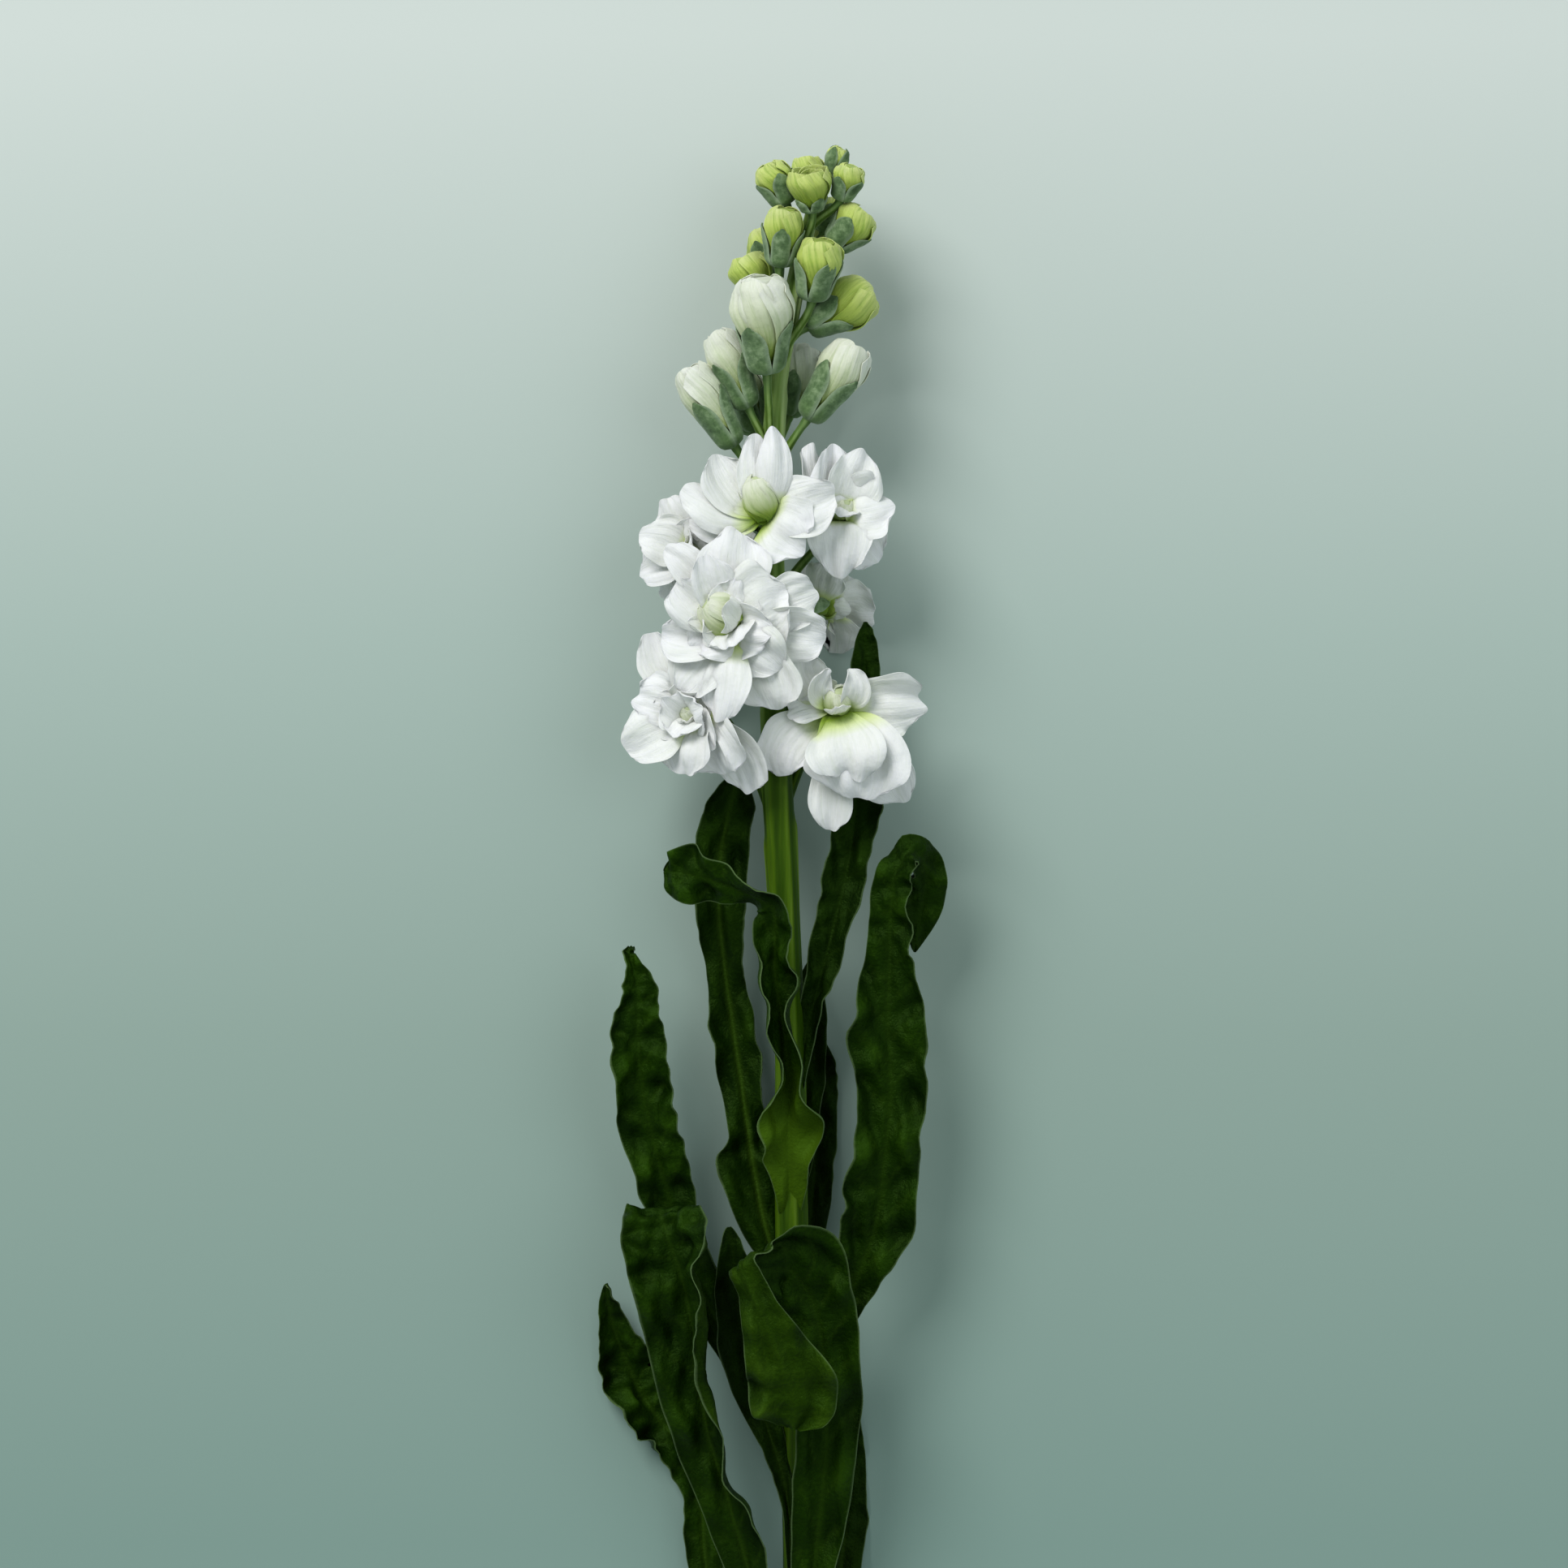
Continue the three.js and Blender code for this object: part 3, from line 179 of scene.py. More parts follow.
# Open flowers. throat is where the petals spread and axis points out of the flower. root is the height
# on the stem where the flower stalk leaves it. Each placed petal is x, y, z of its middle and of its tip,
# half its width, and the roll of its margins in degrees. ring is a count of petals set round the axis by
# rule, their length, how far they lean out of the axis in degrees and half their width. heart is the
# knot of unopened petals: the direction it points in, its radius and its length. fill is how many
# crumpled petals lie round the heart, how many small ones cup it, and the length of the crumpled ones.
BLOOMS = {
    "bloom_centre": {"throat": [-9, 101.5, 34], "axis": [-0.2, -0.05, 0.97], "root": 82,
        "heart": [-5, 5, 4, 5.2, 12], "fill": [5, 3, 13], "petals": [
        [-9, 115, 37.5, -8.4, 125.2, 36, 8.8, 20], [-18, 114, 35.5, -25.8, 121, 34, 4.4, 20],
        [-13.5, 111, 39, -16, 118.8, 40.5, 5.6, 35], [-2.5, 106.5, 40, 4.5, 109.5, 39, 11, -12],
        [3, 107, 37, 11.5, 110, 35.5, 6.8, 25], [4, 100, 37, 13.6, 99, 35, 7.2, 25],
        [-3.5, 96, 39, 2.5, 91, 38, 7.2, 15], [-11.5, 89, 40, -12.5, 78.4, 38, 6.8, -30],
        [-16.5, 92, 35.5, -21.5, 85.5, 34, 6.6, 20], [-1.5, 90, 36, 1, 80.8, 34, 8.4, 20],
        [-18, 106.5, 37, -23.5, 112, 36, 6.4, 30], [-19, 99, 35, -26.8, 100, 33, 6.8, 30],
    ]},
    "bloom_top": {"throat": [-2, 128.5, 31], "axis": [-0.15, 0.35, 0.9], "root": 112,
        "heart": [-1.5, 11, 4.5, 4.4, 12], "fill": [0, 1, 9], "petals": [
        [0.8, 138, 37, 0.2, 150, 35, 4.8, -50], [-3.8, 137, 34, -3.8, 148.8, 32.5, 4.4, 30],
        [-9, 135, 32, -13.5, 143.8, 31.5, 7.6, 30], [-12, 130.5, 34.5, -21.8, 135.5, 34, 6.4, -35],
        [-11, 127, 31.5, -20, 128, 29, 6, 20], [7, 130.5, 35.5, 15.8, 134, 35, 8, 20],
        [2.5, 125, 36, 8, 120.5, 35.5, 9.8, 20],
    ]},
    "bloom_low_right": {"throat": [16, 81.5, 29], "axis": [0.1, 0, 0.98], "root": 52,
        "heart": [1, 5, 6, 3.2, 8], "petals": [
        [28, 82.5, 31.5, 37.6, 83, 29, 8.2, 15], [18.5, 72, 37.5, 20, 63.8, 35, 9.6, 15],
        [20.5, 70, 34.5, 21.5, 58.6, 32, 12.8, 20], [27, 67, 29, 32.5, 58.6, 27, 6.6, 15],
        [5, 73.5, 29, 3, 64.8, 28, 7.2, 15], [15, 62, 28.5, 14.8, 51.6, 27, 5.2, 15],
        [9, 81.5, 31.5, 4.2, 79.6, 31, 3.6, 25], [11.5, 86, 34, 14.5, 90.8, 35.5, 3.8, 60],
        [20.5, 85, 34, 19.5, 91, 35, 4, 55], [9, 89, 31, 8.5, 96, 29.5, 5.6, 25],
    ]},
    "bloom_low_left": {"throat": [-19, 80, 29], "axis": [-0.4, -0.1, 0.85], "root": 48,
        "heart": [-2, 3, 6, 2.8, 6], "fill": [6, 3, 12], "petals": [
        [-26, 91, 29, -29.8, 100.2, 27, 5.8, 30], [-21.5, 87.5, 33.5, -23.5, 95, 33, 3.8, -30],
        [-27, 83, 31, -33.8, 84.3, 29, 7.2, 20], [-28, 75.5, 31, -36.6, 71.5, 29.5, 7.4, 20],
        [-21, 72.5, 33, -21.5, 65, 32, 8.8, 20], [-14, 72.5, 34.5, -10.5, 65, 33.5, 8.6, 20],
        [-9, 71.5, 31, -4, 61.2, 29, 7.2, 30],
    ]},
    "bloom_top_right": {"throat": [17, 129.5, 24.6], "axis": [0.3, 0.45, 0.84], "root": 104,
        "heart": [2, 4, 5, 2.8, 6], "fill": [3, 0, 9], "petals": [
        [12, 136, 28, 9.6, 146.3, 26, 5.4, 25], [15.6, 134.5, 30, 15.6, 146.4, 28, 7.6, 15],
        [20, 136, 29, 22.8, 145, 27, 7.2, 20], [23, 131, 29, 29.6, 132, 27, 8.6, 20],
        [17, 124.5, 31, 16.5, 114.2, 28.5, 8, 12], [22, 123, 27, 26.4, 118, 25.5, 7.4, 15],
    ]},
    "bloom_left": {"throat": [-19, 119.5, 24], "axis": [-0.5, 0.15, 0.8], "root": 98,
        "heart": [-2, 0, 5, 2.8, 5], "fill": [5, 3, 11], "petals": [
        [-22, 127, 26, -25.5, 133.4, 25, 6.4, 25], [-25, 122.5, 28, -32.3, 124, 26.5, 6.6, 20],
        [-26, 117.5, 25.5, -33, 115.6, 23.5, 6.8, 20], [-23, 113.5, 24, -27, 109, 22.5, 6.4, 20],
        [-17, 125, 25, -15.5, 132, 24, 5.4, 20],
    ]},
    "bloom_back_right": {"throat": [13, 107, 9.5], "axis": [0.5, 0.15, -0.8], "root": 88,
        "heart": [1, 0, -1, 3, 5], "ring": [5, 14, 62, 7.4],
        "petals": [[13, 113, 16, 14.5, 117, 19.5, 5.5, 20]]},
    "bloom_back_left": {"throat": [-11, 90, 9], "axis": [-0.5, 0, -0.85], "root": 72,
        "heart": [-1, 0, -1, 3, 5], "ring": [5, 15, 62, 7.6]},
    "bloom_back_top": {"throat": [-4, 131, 9.5], "axis": [-0.2, 0.35, -0.9], "root": 113,
        "heart": [0, 1, -1, 3, 5], "ring": [5, 14.5, 62, 7.6]},
}

# Buds, bud_01 and on: x, y, z of the foot and of the tip, the radius of the ball of petals, the share of
# the length that the sepals cover, how open the top is from 0 to 1, and where on the stem the stalk starts.
BUDS = [
    [14.3, 212, 25.3, 17.4, 220, 25.8, 2.4, 1.0, 0, 205],
    [9.6, 207, 20.5, 8.8, 218.4, 19.5, 4, 0.7, 0.5, 196],
    [3.8, 205.6, 26.5, -1, 216, 28, 4.2, 0.7, 0.2, 192],
    [10.2, 203.5, 30, 9.2, 214.6, 33.5, 5.2, 0.35, 0.8, 192],
    [17, 206.5, 29, 20.4, 215, 31.5, 3.6, 0.7, 0.3, 198],
    [15, 195.3, 26.5, 23.8, 204, 27.5, 5, 0.7, 0.2, 184],
    [2, 190, 29.5, 3.6, 205, 32.5, 4.4, 0.7, 0.1, 178],
    [10, 181.5, 30.5, 12.8, 197, 34.5, 5.3, 0.7, 0.1, 166],
    [-3, 181.5, 22.5, -6, 194.3, 21.5, 5, 0.4, 0.8, 168],
    [8.8, 175.6, 25.5, 25.6, 184.5, 24, 6, 0.55, 0.1, 158],
    [-1, 163.5, 31.5, -2.6, 188, 37, 7.5, 0.55, 0.1, 136],
    [-5.5, 155.5, 25.5, -13.6, 175, 26, 4.8, 0.66, 0.1, 140],
    [-8.8, 146, 26, -21, 166.4, 27.5, 5, 0.66, 0.1, 128],
    [8.8, 152.6, 27, 22, 171.5, 28.5, 5.5, 0.66, 0.1, 133],
    [4.5, 154, 17.5, 9.5, 172, 14.5, 4.6, 0.6, 0.1, 140],
    [8, 186, 19.5, 12.6, 200, 16.5, 3.8, 0.65, 0.1, 176],
    [12.8, 199, 19, 17, 207.5, 14.5, 3.4, 0.7, 0.1, 190],
    [0, 186, 18, -2, 201, 13.5, 4.4, 0.7, 0.1, 172],
    [1, 168, 16, -4, 186, 11, 5.2, 0.66, 0.1, 154],
    [-4, 150, 16.5, -9, 167, 10, 5.2, 0.66, 0.1, 138],
]


# Maths
def vec(*numbers):
    return np.array(numbers, float)


def unit(v):
    return v / np.maximum(np.linalg.norm(v, axis=-1, keepdims=True), 1e-9)


def dot(a, b):
    return np.sum(a * b, axis=-1, keepdims=True)


def limit(x):
    return np.clip(x, 0, 1)


def dome(x, power=2):
    """The height of a dome of radius 1 at a distance x from its middle, boxier for a higher power."""
    return np.sqrt(limit(1 - x**power))


def smooth(low, high, x):
    t = limit((x - low) / (high - low))
    return t * t * (3 - 2 * t)


def noise(key):
    """A number from 0 to 1 that is the same for the same key on every run."""
    x = np.sin(key * 12.9898 + 4.1) * 43758.5453
    return x - np.floor(x)


def ripples(x, y, key, waves=6):
    """Uneven waves over a plane, from about -1 to 1, one unit or so from top to top."""
    total = 0
    for k in range(waves):
        turn = 2 * math.pi * noise(key * 7.1 + k)
        pace = 0.7 + 0.9 * noise(key * 3.7 + k + 20)
        phase = 2 * math.pi * noise(key + k + 60)
        total = total + np.sin(2 * math.pi * pace * (x * math.cos(turn) + y * math.sin(turn)) + phase)
    return 1.6 * total / waves


def along_rows(rows, u):
    """The row at u, from 0 to 1, of a smooth curve through rows of numbers."""
    rows = np.asarray(rows, float)
    last = len(rows) - 1
    at = limit(u) * last
    i = np.minimum(np.floor(at).astype(int), last - 1)
    t = np.asarray(at - i)[..., None]
    a, b, c, d = (rows[np.clip(i + k, 0, last)] for k in (-1, 0, 1, 2))
    slope = (c - a) / 2
    leaving = (d - b) / 2
    s = t * t * (3 - 2 * t)
    return b + (c - b) * s + slope * t * (1 - t) ** 2 - leaving * t * t * (1 - t)


def beside(axis, angle):
    """The directions square to an axis, at angles round it."""
    side = unit(np.cross(axis, vec(0, 0, 1) if abs(axis[2]) < 0.9 else vec(1, 0, 0)))
    up = unit(np.cross(side, axis))
    return side * np.cos(angle)[..., None] + up * np.sin(angle)[..., None]


def turns(count):
    """Angles set evenly round a circle."""
    return 2 * math.pi * np.arange(count) / count


def ring_around(foot, axis, height, radius, angle):
    """Points at a height along an axis from its foot, and at a radius and an angle round it."""
    out = beside(axis, angle)
    return foot + axis * np.asarray(height)[..., None] + out * np.asarray(radius)[..., None]


def bezier(points, share):
    """Points and directions on the cubic curve of four points."""
    s = np.asarray(share, float)[..., None]
    a, b, c, d = points
    place = a * (1 - s) ** 3 + 3 * b * s * (1 - s) ** 2 + 3 * c * s * s * (1 - s) + d * s**3
    slope = 3 * (b - a) * (1 - s) ** 2 + 6 * (c - b) * s * (1 - s) + 3 * (d - c) * s * s
    return place, unit(slope)


# Mesh making
PAINTS = ("along", "across", "tint", "seed", "under", "vein", "crest")


class Piece:
    """Closed skins gathered into one mesh, with the values that its materials read at each point."""

    def __init__(self):
        self.points = []
        self.faces = []
        self.finishes = []
        self.paints = {name: [] for name in PAINTS}
        self.count = 0

    def add(self, points, groups, finish, **paints):
        """Adds points, groups of faces between them, and a value or a value for each point of each paint."""
        shape = points.shape[:-1]
        self.points.append(points.reshape(-1, 3))
        for faces in groups:
            self.faces += [tuple(row) for row in (faces + self.count).tolist()]
            self.finishes += [finish] * len(faces)
        for name in PAINTS:
            value = np.broadcast_to(np.asarray(paints.get(name, 0.0), float), shape)
            self.paints[name].append(value.ravel())
        self.count += value.size


def blade_faces(steps_along, steps_across):
    """Quads of a thin blade: its upper grid, then its lower grid, then the rim between them."""
    columns = steps_across + 1
    count = (steps_along + 1) * columns
    i, j = np.meshgrid(np.arange(steps_along), np.arange(steps_across), indexing="ij")
    a = (i * columns + j).ravel()
    upper = np.stack([a, a + 1, a + columns + 1, a + columns], axis=1)
    rim = list(range(columns))
    rim += [i * columns + steps_across for i in range(1, steps_along + 1)]
    rim += [steps_along * columns + j for j in range(steps_across - 1, -1, -1)]
    rim += [i * columns for i in range(steps_along - 1, 0, -1)]
    start = np.array(rim)
    end = np.roll(start, -1)
    edge = np.stack([end, start, start + count, end + count], axis=1)
    return upper, upper[:, ::-1] + count, edge


def add_blade(piece, surface, steps, thickness, finish, tint=0.0, seed=0.0, relief=None):
    """A thin blade over a surface of u along, from 0 to 1, and v across, from -1 to 1. thickness gives how
    far each face lies from the middle, and relief how high both are lifted and where the veins run."""
    u, v = np.meshgrid(np.linspace(0, 1, steps[0] + 1), np.linspace(-1, 1, steps[1] + 1), indexing="ij")
    middle = surface(u, v)
    normal = unit(np.cross(np.gradient(middle, axis=1), np.gradient(middle, axis=0)))
    vein = crest = np.zeros_like(u)
    if relief is not None:
        height, vein, crest = relief(u, v)
        middle = middle + normal * height[..., None]
    above, below = thickness(u, v)
    upper = middle + normal * above[..., None]
    lower = middle - normal * below[..., None]
    # No face goes through the table, and where that closes a blade its upper face is lifted again
    lower[..., 2] = np.maximum(lower[..., 2], BLADE_CLEARANCE)
    upper[..., 2] = np.maximum(upper[..., 2], BLADE_CLEARANCE)
    pinched = np.linalg.norm(upper - lower, axis=-1) < PINCHED
    upper[..., 2] += np.where(pinched, OPENED, 0.0)
    # The broad swells also go to the material as a paint: painted shade in their hollows and painted
    # highlight on their tops, turned over for the lower face
    piece.add(
        np.stack([upper, lower]), blade_faces(*steps), finish,
        along=u, across=v, under=vec(0, 1)[:, None, None], vein=vein, seed=seed,
        crest=np.stack([crest, -crest]), tint=tint(u, v) if callable(tint) else tint,
    )


def add_rings(piece, rings, start, end, finish, **paints):
    """A closed body of rings of points, with a pole at each end. paints hold one value per ring point."""
    count, sides = rings.shape[:2]
    points = np.concatenate([[start], rings.reshape(-1, 3), [end]])
    j = np.arange(sides)
    k = (j + 1) % sides
    first = np.stack([np.zeros(sides, int), 1 + k, 1 + j], axis=1)
    last = 1 + (count - 1) * sides
    final = np.stack([np.full(sides, len(points) - 1), last + j, last + k], axis=1)
    base = 1 + sides * np.arange(count - 1)[:, None]
    wall = np.stack([base + j, base + k, base + sides + k, base + sides + j], axis=2).reshape(-1, 4)
    triangles = np.concatenate([first, final, wall[:, [0, 1, 2]], wall[:, [0, 2, 3]]])
    a, b, c = (points[triangles[:, n]] for n in range(3))
    if np.sum(a * np.cross(b, c)) < 0:
        first, final, wall = first[:, ::-1], final[:, ::-1], wall[:, ::-1]
    values = {}
    for name, value in paints.items():
        value = np.broadcast_to(np.asarray(value, float), (count, sides))
        values[name] = np.concatenate([[value[0, 0]], value.ravel(), [value[-1, 0]]])
    piece.add(points, (wall, first, final), finish, **values)


# Stem, stalks and sepals
def stem_at(y):
    """x, y, z and radius of the main stem at a height y."""
    heights = np.array([row[1] for row in STEM], float)
    i = np.clip(np.searchsorted(heights, y, side="right") - 1, 0, len(STEM) - 2)
    return along_rows(STEM, (i + (y - heights[i]) / (heights[i + 1] - heights[i])) / (len(STEM) - 1))


def add_stem(piece, stalks):
    """The main stem, ribbed, with a ridge running down below each stalk."""
    shares = np.linspace(0, 1, STEM_GRID[0] + 1)
    rows = along_rows(STEM, shares)
    centre = rows[:, :3]
    radius = rows[:, 3]
    along = unit(np.gradient(centre, axis=0))
    side = unit(np.cross(along, vec(0, 0, 1)))
    up = np.cross(side, along)
    angle = turns(STEM_GRID[1])
    height = np.broadcast_to(centre[:, 1:2], (len(shares), len(angle)))
    turn = np.broadcast_to(angle, height.shape)
    ridge = 0.05 * np.cos(5 * turn + 0.9 * np.sin(height / 34)) + 0.02 * np.cos(11 * turn + height / 25)
    for root, foot in stalks:
        place = stem_at(root)
        heading = math.atan2(foot[2] - place[2], foot[0] - place[0])
        gap = np.angle(np.exp(1j * (turn - heading)))
        below = (root - height) / RIDGE_LENGTH
        fade = np.where(below > 0, limit(1 - below) ** 1.3, limit(1 + 8 * below))
        ridge = ridge + STEM_RIDGE * fade * np.exp(-((gap / 0.3) ** 2)) / max(place[3] / 3, 0.5)
    grain = STEM_GRAIN * ripples(turn * 4, height / 30, 5)
    reach = radius[:, None] * (1 + 0.8 * np.clip(ridge, -0.08, 0.34) + grain)
    rings = (
        centre[:, None]
        + side[:, None] * (reach * np.cos(turn))[..., None]
        + up[:, None] * (reach * np.sin(turn))[..., None]
    )
    rings[..., 2] = np.maximum(rings[..., 2], STEM_CLEARANCE)
    add_rings(
        piece, rings, centre[0] + vec(0, 0.4, 0), centre[-1], "stem",
        along=shares[:, None], across=turn / math.pi - 1, vein=limit(0.5 + 4 * ridge),
    )


def add_stalk(piece, foot, axis, root):
    """The stalk of a bud or flower, from inside the stem at height root to the cup."""
    x, y, z = stem_at(root)[:3]
    reach = min(9, 0.4 * (foot[1] - root))
    lifted = vec(x, y + reach, z)
    curve = [vec(x, y, z), lifted + (foot - lifted) * 0.25, foot - axis * reach, foot + axis * 0.5]
    shares = np.linspace(0, 1, STALK_GRID[0] + 1)
    place, along = bezier(curve, shares)
    angle = turns(STALK_GRID[1])
    rings = []
    for share, centre, direction in zip(shares, place, along):
        radius = PEDICEL_RADIUS * (1.22 - 0.3 * share + 0.35 * smooth(0.86, 1, share))
        ribbed = radius * (1 + 0.06 * np.cos(4 * angle + 2 * share))
        rings.append(ring_around(centre, direction, 0, ribbed, angle))
    add_rings(
        piece, np.array(rings), place[0], place[-1], "stem",
        along=shares[:, None], across=angle / math.pi - 1, vein=0.5 + 0.4 * np.cos(4 * angle),
        tint=smooth(0.6, 1, shares)[:, None] * 0.6,
    )


def add_sepals(piece, foot, axis, length, inside, spread, key):
    """Four sepals pressed to what they hold. inside gives its radius at a height."""
    spin = 0.5 * math.pi * noise(key + 0.8)
    for j in range(4):
        seed = key + 0.37 * j
        turned = j * math.pi / 2 + spin + 0.16 * (noise(seed) - 0.5)
        reach = length * (1.0 - 0.1 * noise(seed + 3))
        outer = 0.25 * (j % 2)

        def surface(u, v):
            # Broad at the foot, with nearly even sides and a blunt point
            tip = limit(1 - ((u - 0.5) / 0.52) ** 2) ** 0.7
            width = np.where(u < 0.5, 0.86 - 0.36 * u, 0.68 * tip)
            height = reach * (u - 0.05 * v * v * u)
            # The sepals bulge round the foot of what they hold
            bulge = 0.62 * inside(reach) * dome(1 - limit(u / 0.22))
            held = (inside(height) ** 4 + bulge**4) ** 0.25
            crown = 0.4 * (1 - v * v) * np.sin(math.pi * limit(u)) ** 0.7
            lip = 0.2 * smooth(0.75, 1, u) + spread * u * u
            radius = held + GAP + outer + crown + lip
            radius = radius + 0.12 * ripples(2 * v, 3 * u, seed) * u
            angle = turned + v * width * (1 + 0.12 * limit(0.45 - u))
            return ring_around(foot, axis, height, radius, angle)

        def thickness(u, v):
            thin = np.sqrt(limit(1 - 0.75 * np.abs(v) ** 4)) * (1 - 0.45 * u**4)
            return 0.28 * thin, 0.22 * thin

        add_blade(piece, surface, SEPAL_GRID, thickness, "sepal", tint=key % 1, seed=seed)


# Buds
BUD_PROFILE = [0, 0.44, 0.66, 0.88, 1.0, 0.88]


def bud_radius(height, length, radius, open_top):
    """Radius of the ball of petals at a height above its foot, with a domed or an open top."""
    share = limit(height / length)
    body = radius * along_rows([[x] for x in BUD_PROFILE], share * 6 / 5)[..., 0]
    shut = radius * 0.88 * dome((share - 0.833) / 0.168)
    brim = radius * (0.88 - 0.5 * (share - 0.833))
    top = shut + (brim - shut) * smooth(0.2, 0.7, open_top)
    return np.where(share > 0.833, top, body)


def add_wraps(piece, foot, axis, length, radius_at, layers, tint, key):
    """Folded petals wrapped round an axis, each with one edge under the last and one over the next.
    A layer is how many, the share of the radius, the share of the length and the angle each spans."""
    for depth, (count, share, reach, span) in enumerate(layers):
        for j in range(count):
            seed = key * 5.3 + depth * 1.7 + j * 0.61
            middle_angle = 2 * math.pi * (j + 0.35 * noise(seed)) / count + key + depth * 0.9
            top = reach * (1 - 0.07 * noise(seed + 5))

            def surface(u, v):
                # The sides draw in towards the foot, and the free edge is rounded
                width = span / 2 * (0.35 + 0.65 * smooth(0, 0.45, u))
                height = length * (0.03 + (top - 0.03) * (u - 0.11 * v**2 * u**2 - 0.04 * v**6))
                angle = middle_angle + v * width + 0.7 * u * u
                radius = share * radius_at(np.clip(height, 0, length))
                over = 0.1 * v + 0.03 * np.sin(3 * v + seed) + 0.07 * v**7
                wave = 0.08 * ripples(1.5 * v, 1.2 * u, seed) * u
                fine = 0.03 * ripples(4.0 * v, 1.1 * u, seed + 9) * u
                radius = radius * (1 + over + wave + fine) + 0.1
                return ring_around(foot, axis, height, radius, angle)

            def thickness(u, v):
                thin = 0.5 + 0.5 * dome(v, 6) * (1 - u**8)
                return 0.16 * thin, 0.16 * thin

            def shade(u, v):
                return limit(tint + 0.12 * (noise(seed + 2) - 0.5) + 0.9 * (1 - u) ** 1.6)

            add_blade(piece, surface, SHELL_GRID, thickness, "petal", tint=shade, seed=seed)


def add_core(piece, foot, axis, length, radius_at, tint):
    """What is inside the wrapped petals, so that no gap shows through them."""
    shares = np.linspace(0.05, 1, 10)[:, None]
    rings = ring_around(foot, axis, length * shares, 0.05 + radius_at(length * shares), turns(20))
    add_rings(piece, rings, foot, foot + axis * length, "petal", along=shares * 0.4, tint=tint)


def bud_form(row):
    """The foot of a bud, the direction it points in and its length."""
    foot = vec(*row[:3])
    reach = vec(*row[3:6]) - foot
    return foot, unit(reach), float(np.linalg.norm(reach))


def make_bud(row, key):
    """The petals of a bud: lime at the top of the spike, and creamy white further down."""
    foot, axis, length = bud_form(row)
    radius, _, open_top, _ = row[6:]
    piece = Piece()
    tint = 0.28 + 0.7 * float(smooth(163, 176, foot[1]))

    def profile(height):
        return bud_radius(height, length, radius, open_top)

    top = 1 - 0.06 * open_top
    layers = [(5, 0.97, top, 2.3)]
    if open_top > 0.4:
        layers += [(5, 0.74, 0.93 * top, 2.2), (4, 0.46, 0.86 * top, 2.4)]
        add_core(piece, foot, axis, 0.72 * length, lambda h: 0.5 * profile(h), tint)
    else:
        layers += [(3, 0.82, 0.985 * top, 3.0)]
        add_core(piece, foot, axis, 0.94 * length, lambda h: 0.8 * profile(h), tint)
    add_wraps(piece, foot, axis, length, profile, layers, tint, key + 1)
    return piece


# Open flowers
def bloom_form(bloom):
    """The throat of a flower, the direction it opens in and the foot of its cup."""
    middle = vec(*bloom["throat"])
    out = unit(vec(*bloom["axis"]))
    return middle, out, middle - out * NECK_LENGTH


def petal_width(u):
    """Share of the half width at u: a narrow claw, a broad blade and a blunt round end."""
    claw = 0.2 + 0.8 * np.sin(math.pi / 2 * np.clip(u, 0, 0.58) / 0.58)
    end = dome((u - 0.58) / 0.47)
    return np.where(u < 0.58, claw, end)


def add_petal(piece, middle, out, row, key, tint, seed, steps=PETAL_GRID):
    """A petal that leaves the throat, passes over its middle point and ends at its tip."""
    via = vec(*row[:3])
    tip = vec(*row[3:6])
    half, roll = row[6:]
    outward = via - middle
    outward = unit(outward - out * np.dot(outward, out))
    root = middle + outward * 0.6 * NECK_RADIUS
    root = root + out * (np.clip(0.25 * np.dot(tip - middle, out), -3, 2.4) - 1)
    handle = 2 * via - (root + tip) / 2
    chord = unit(tip - root)
    flat = np.cross(chord, out)
    turn = math.radians(PINWHEEL)
    flat = unit(flat * math.cos(turn) + np.cross(chord, flat) * math.sin(turn))
    phase = 2 * math.pi * noise(key)

    def surface(u, v):
        s = u[..., None]
        place = root * (1 - s) ** 2 + 2 * handle * s * (1 - s) + tip * s * s
        along = unit((handle - root) * (1 - s) + (tip - handle) * s)
        across = unit(flat - along * dot(along, flat))
        facing = np.cross(across, along)
        share = petal_width(u) * v
        width = half * share
        bend = math.radians(roll) * np.abs(v)
        ruffle = PETAL_RUFFLE * half * u * v * v * np.sin(7 * u + 3.2 * v + phase)
        # Soft folds down the blade, a waved margin and a rounded, unevenly lobed end
        fold = PETAL_FOLD * half * ripples(0.8 * share, 0.7 * u, key) * smooth(0.1, 0.8, u)
        pleat = PETAL_PLEAT * half * ripples(2.4 * share, 0.8 * u, key + 3) * smooth(0.05, 0.5, u)
        margin = np.maximum(v * v, u**3) ** 2
        frill = PETAL_FRILL * half * ripples(1.2 * u, 1.3 * share, key + 5) * margin
        crinkle = PETAL_CRINKLE * half * ripples(3.2 * share, 2.2 * u, key + 17) * smooth(0.2, 0.6, u)
        lobes = PETAL_LOBES * half * ripples(1.1 * share, 0, key + 7) * u**6
        shift = lobes - (0.18 * u * u + 0.08 * v * v * u**6) * half * v * v
        width = width * (1.04 + 0.08 * ripples(1.8 * u, np.sign(v), key + 13) * v * v)
        lift = np.abs(width) * np.sin(bend) / 2 + ruffle + fold + pleat + crinkle + frill
        return (
            place
            + along * shift[..., None]
            + across * (width * (1 - bend * bend / 8))[..., None]
            + facing * lift[..., None]
        )

    def thickness(u, v):
        thin = (0.35 + 0.65 * dome(v, 8)) * (1 - 0.5 * u**6)
        return PETAL_THICK / 2 * thin, PETAL_THICK / 2 * thin

    add_blade(piece, surface, steps, thickness, "petal", tint=tint, seed=seed)


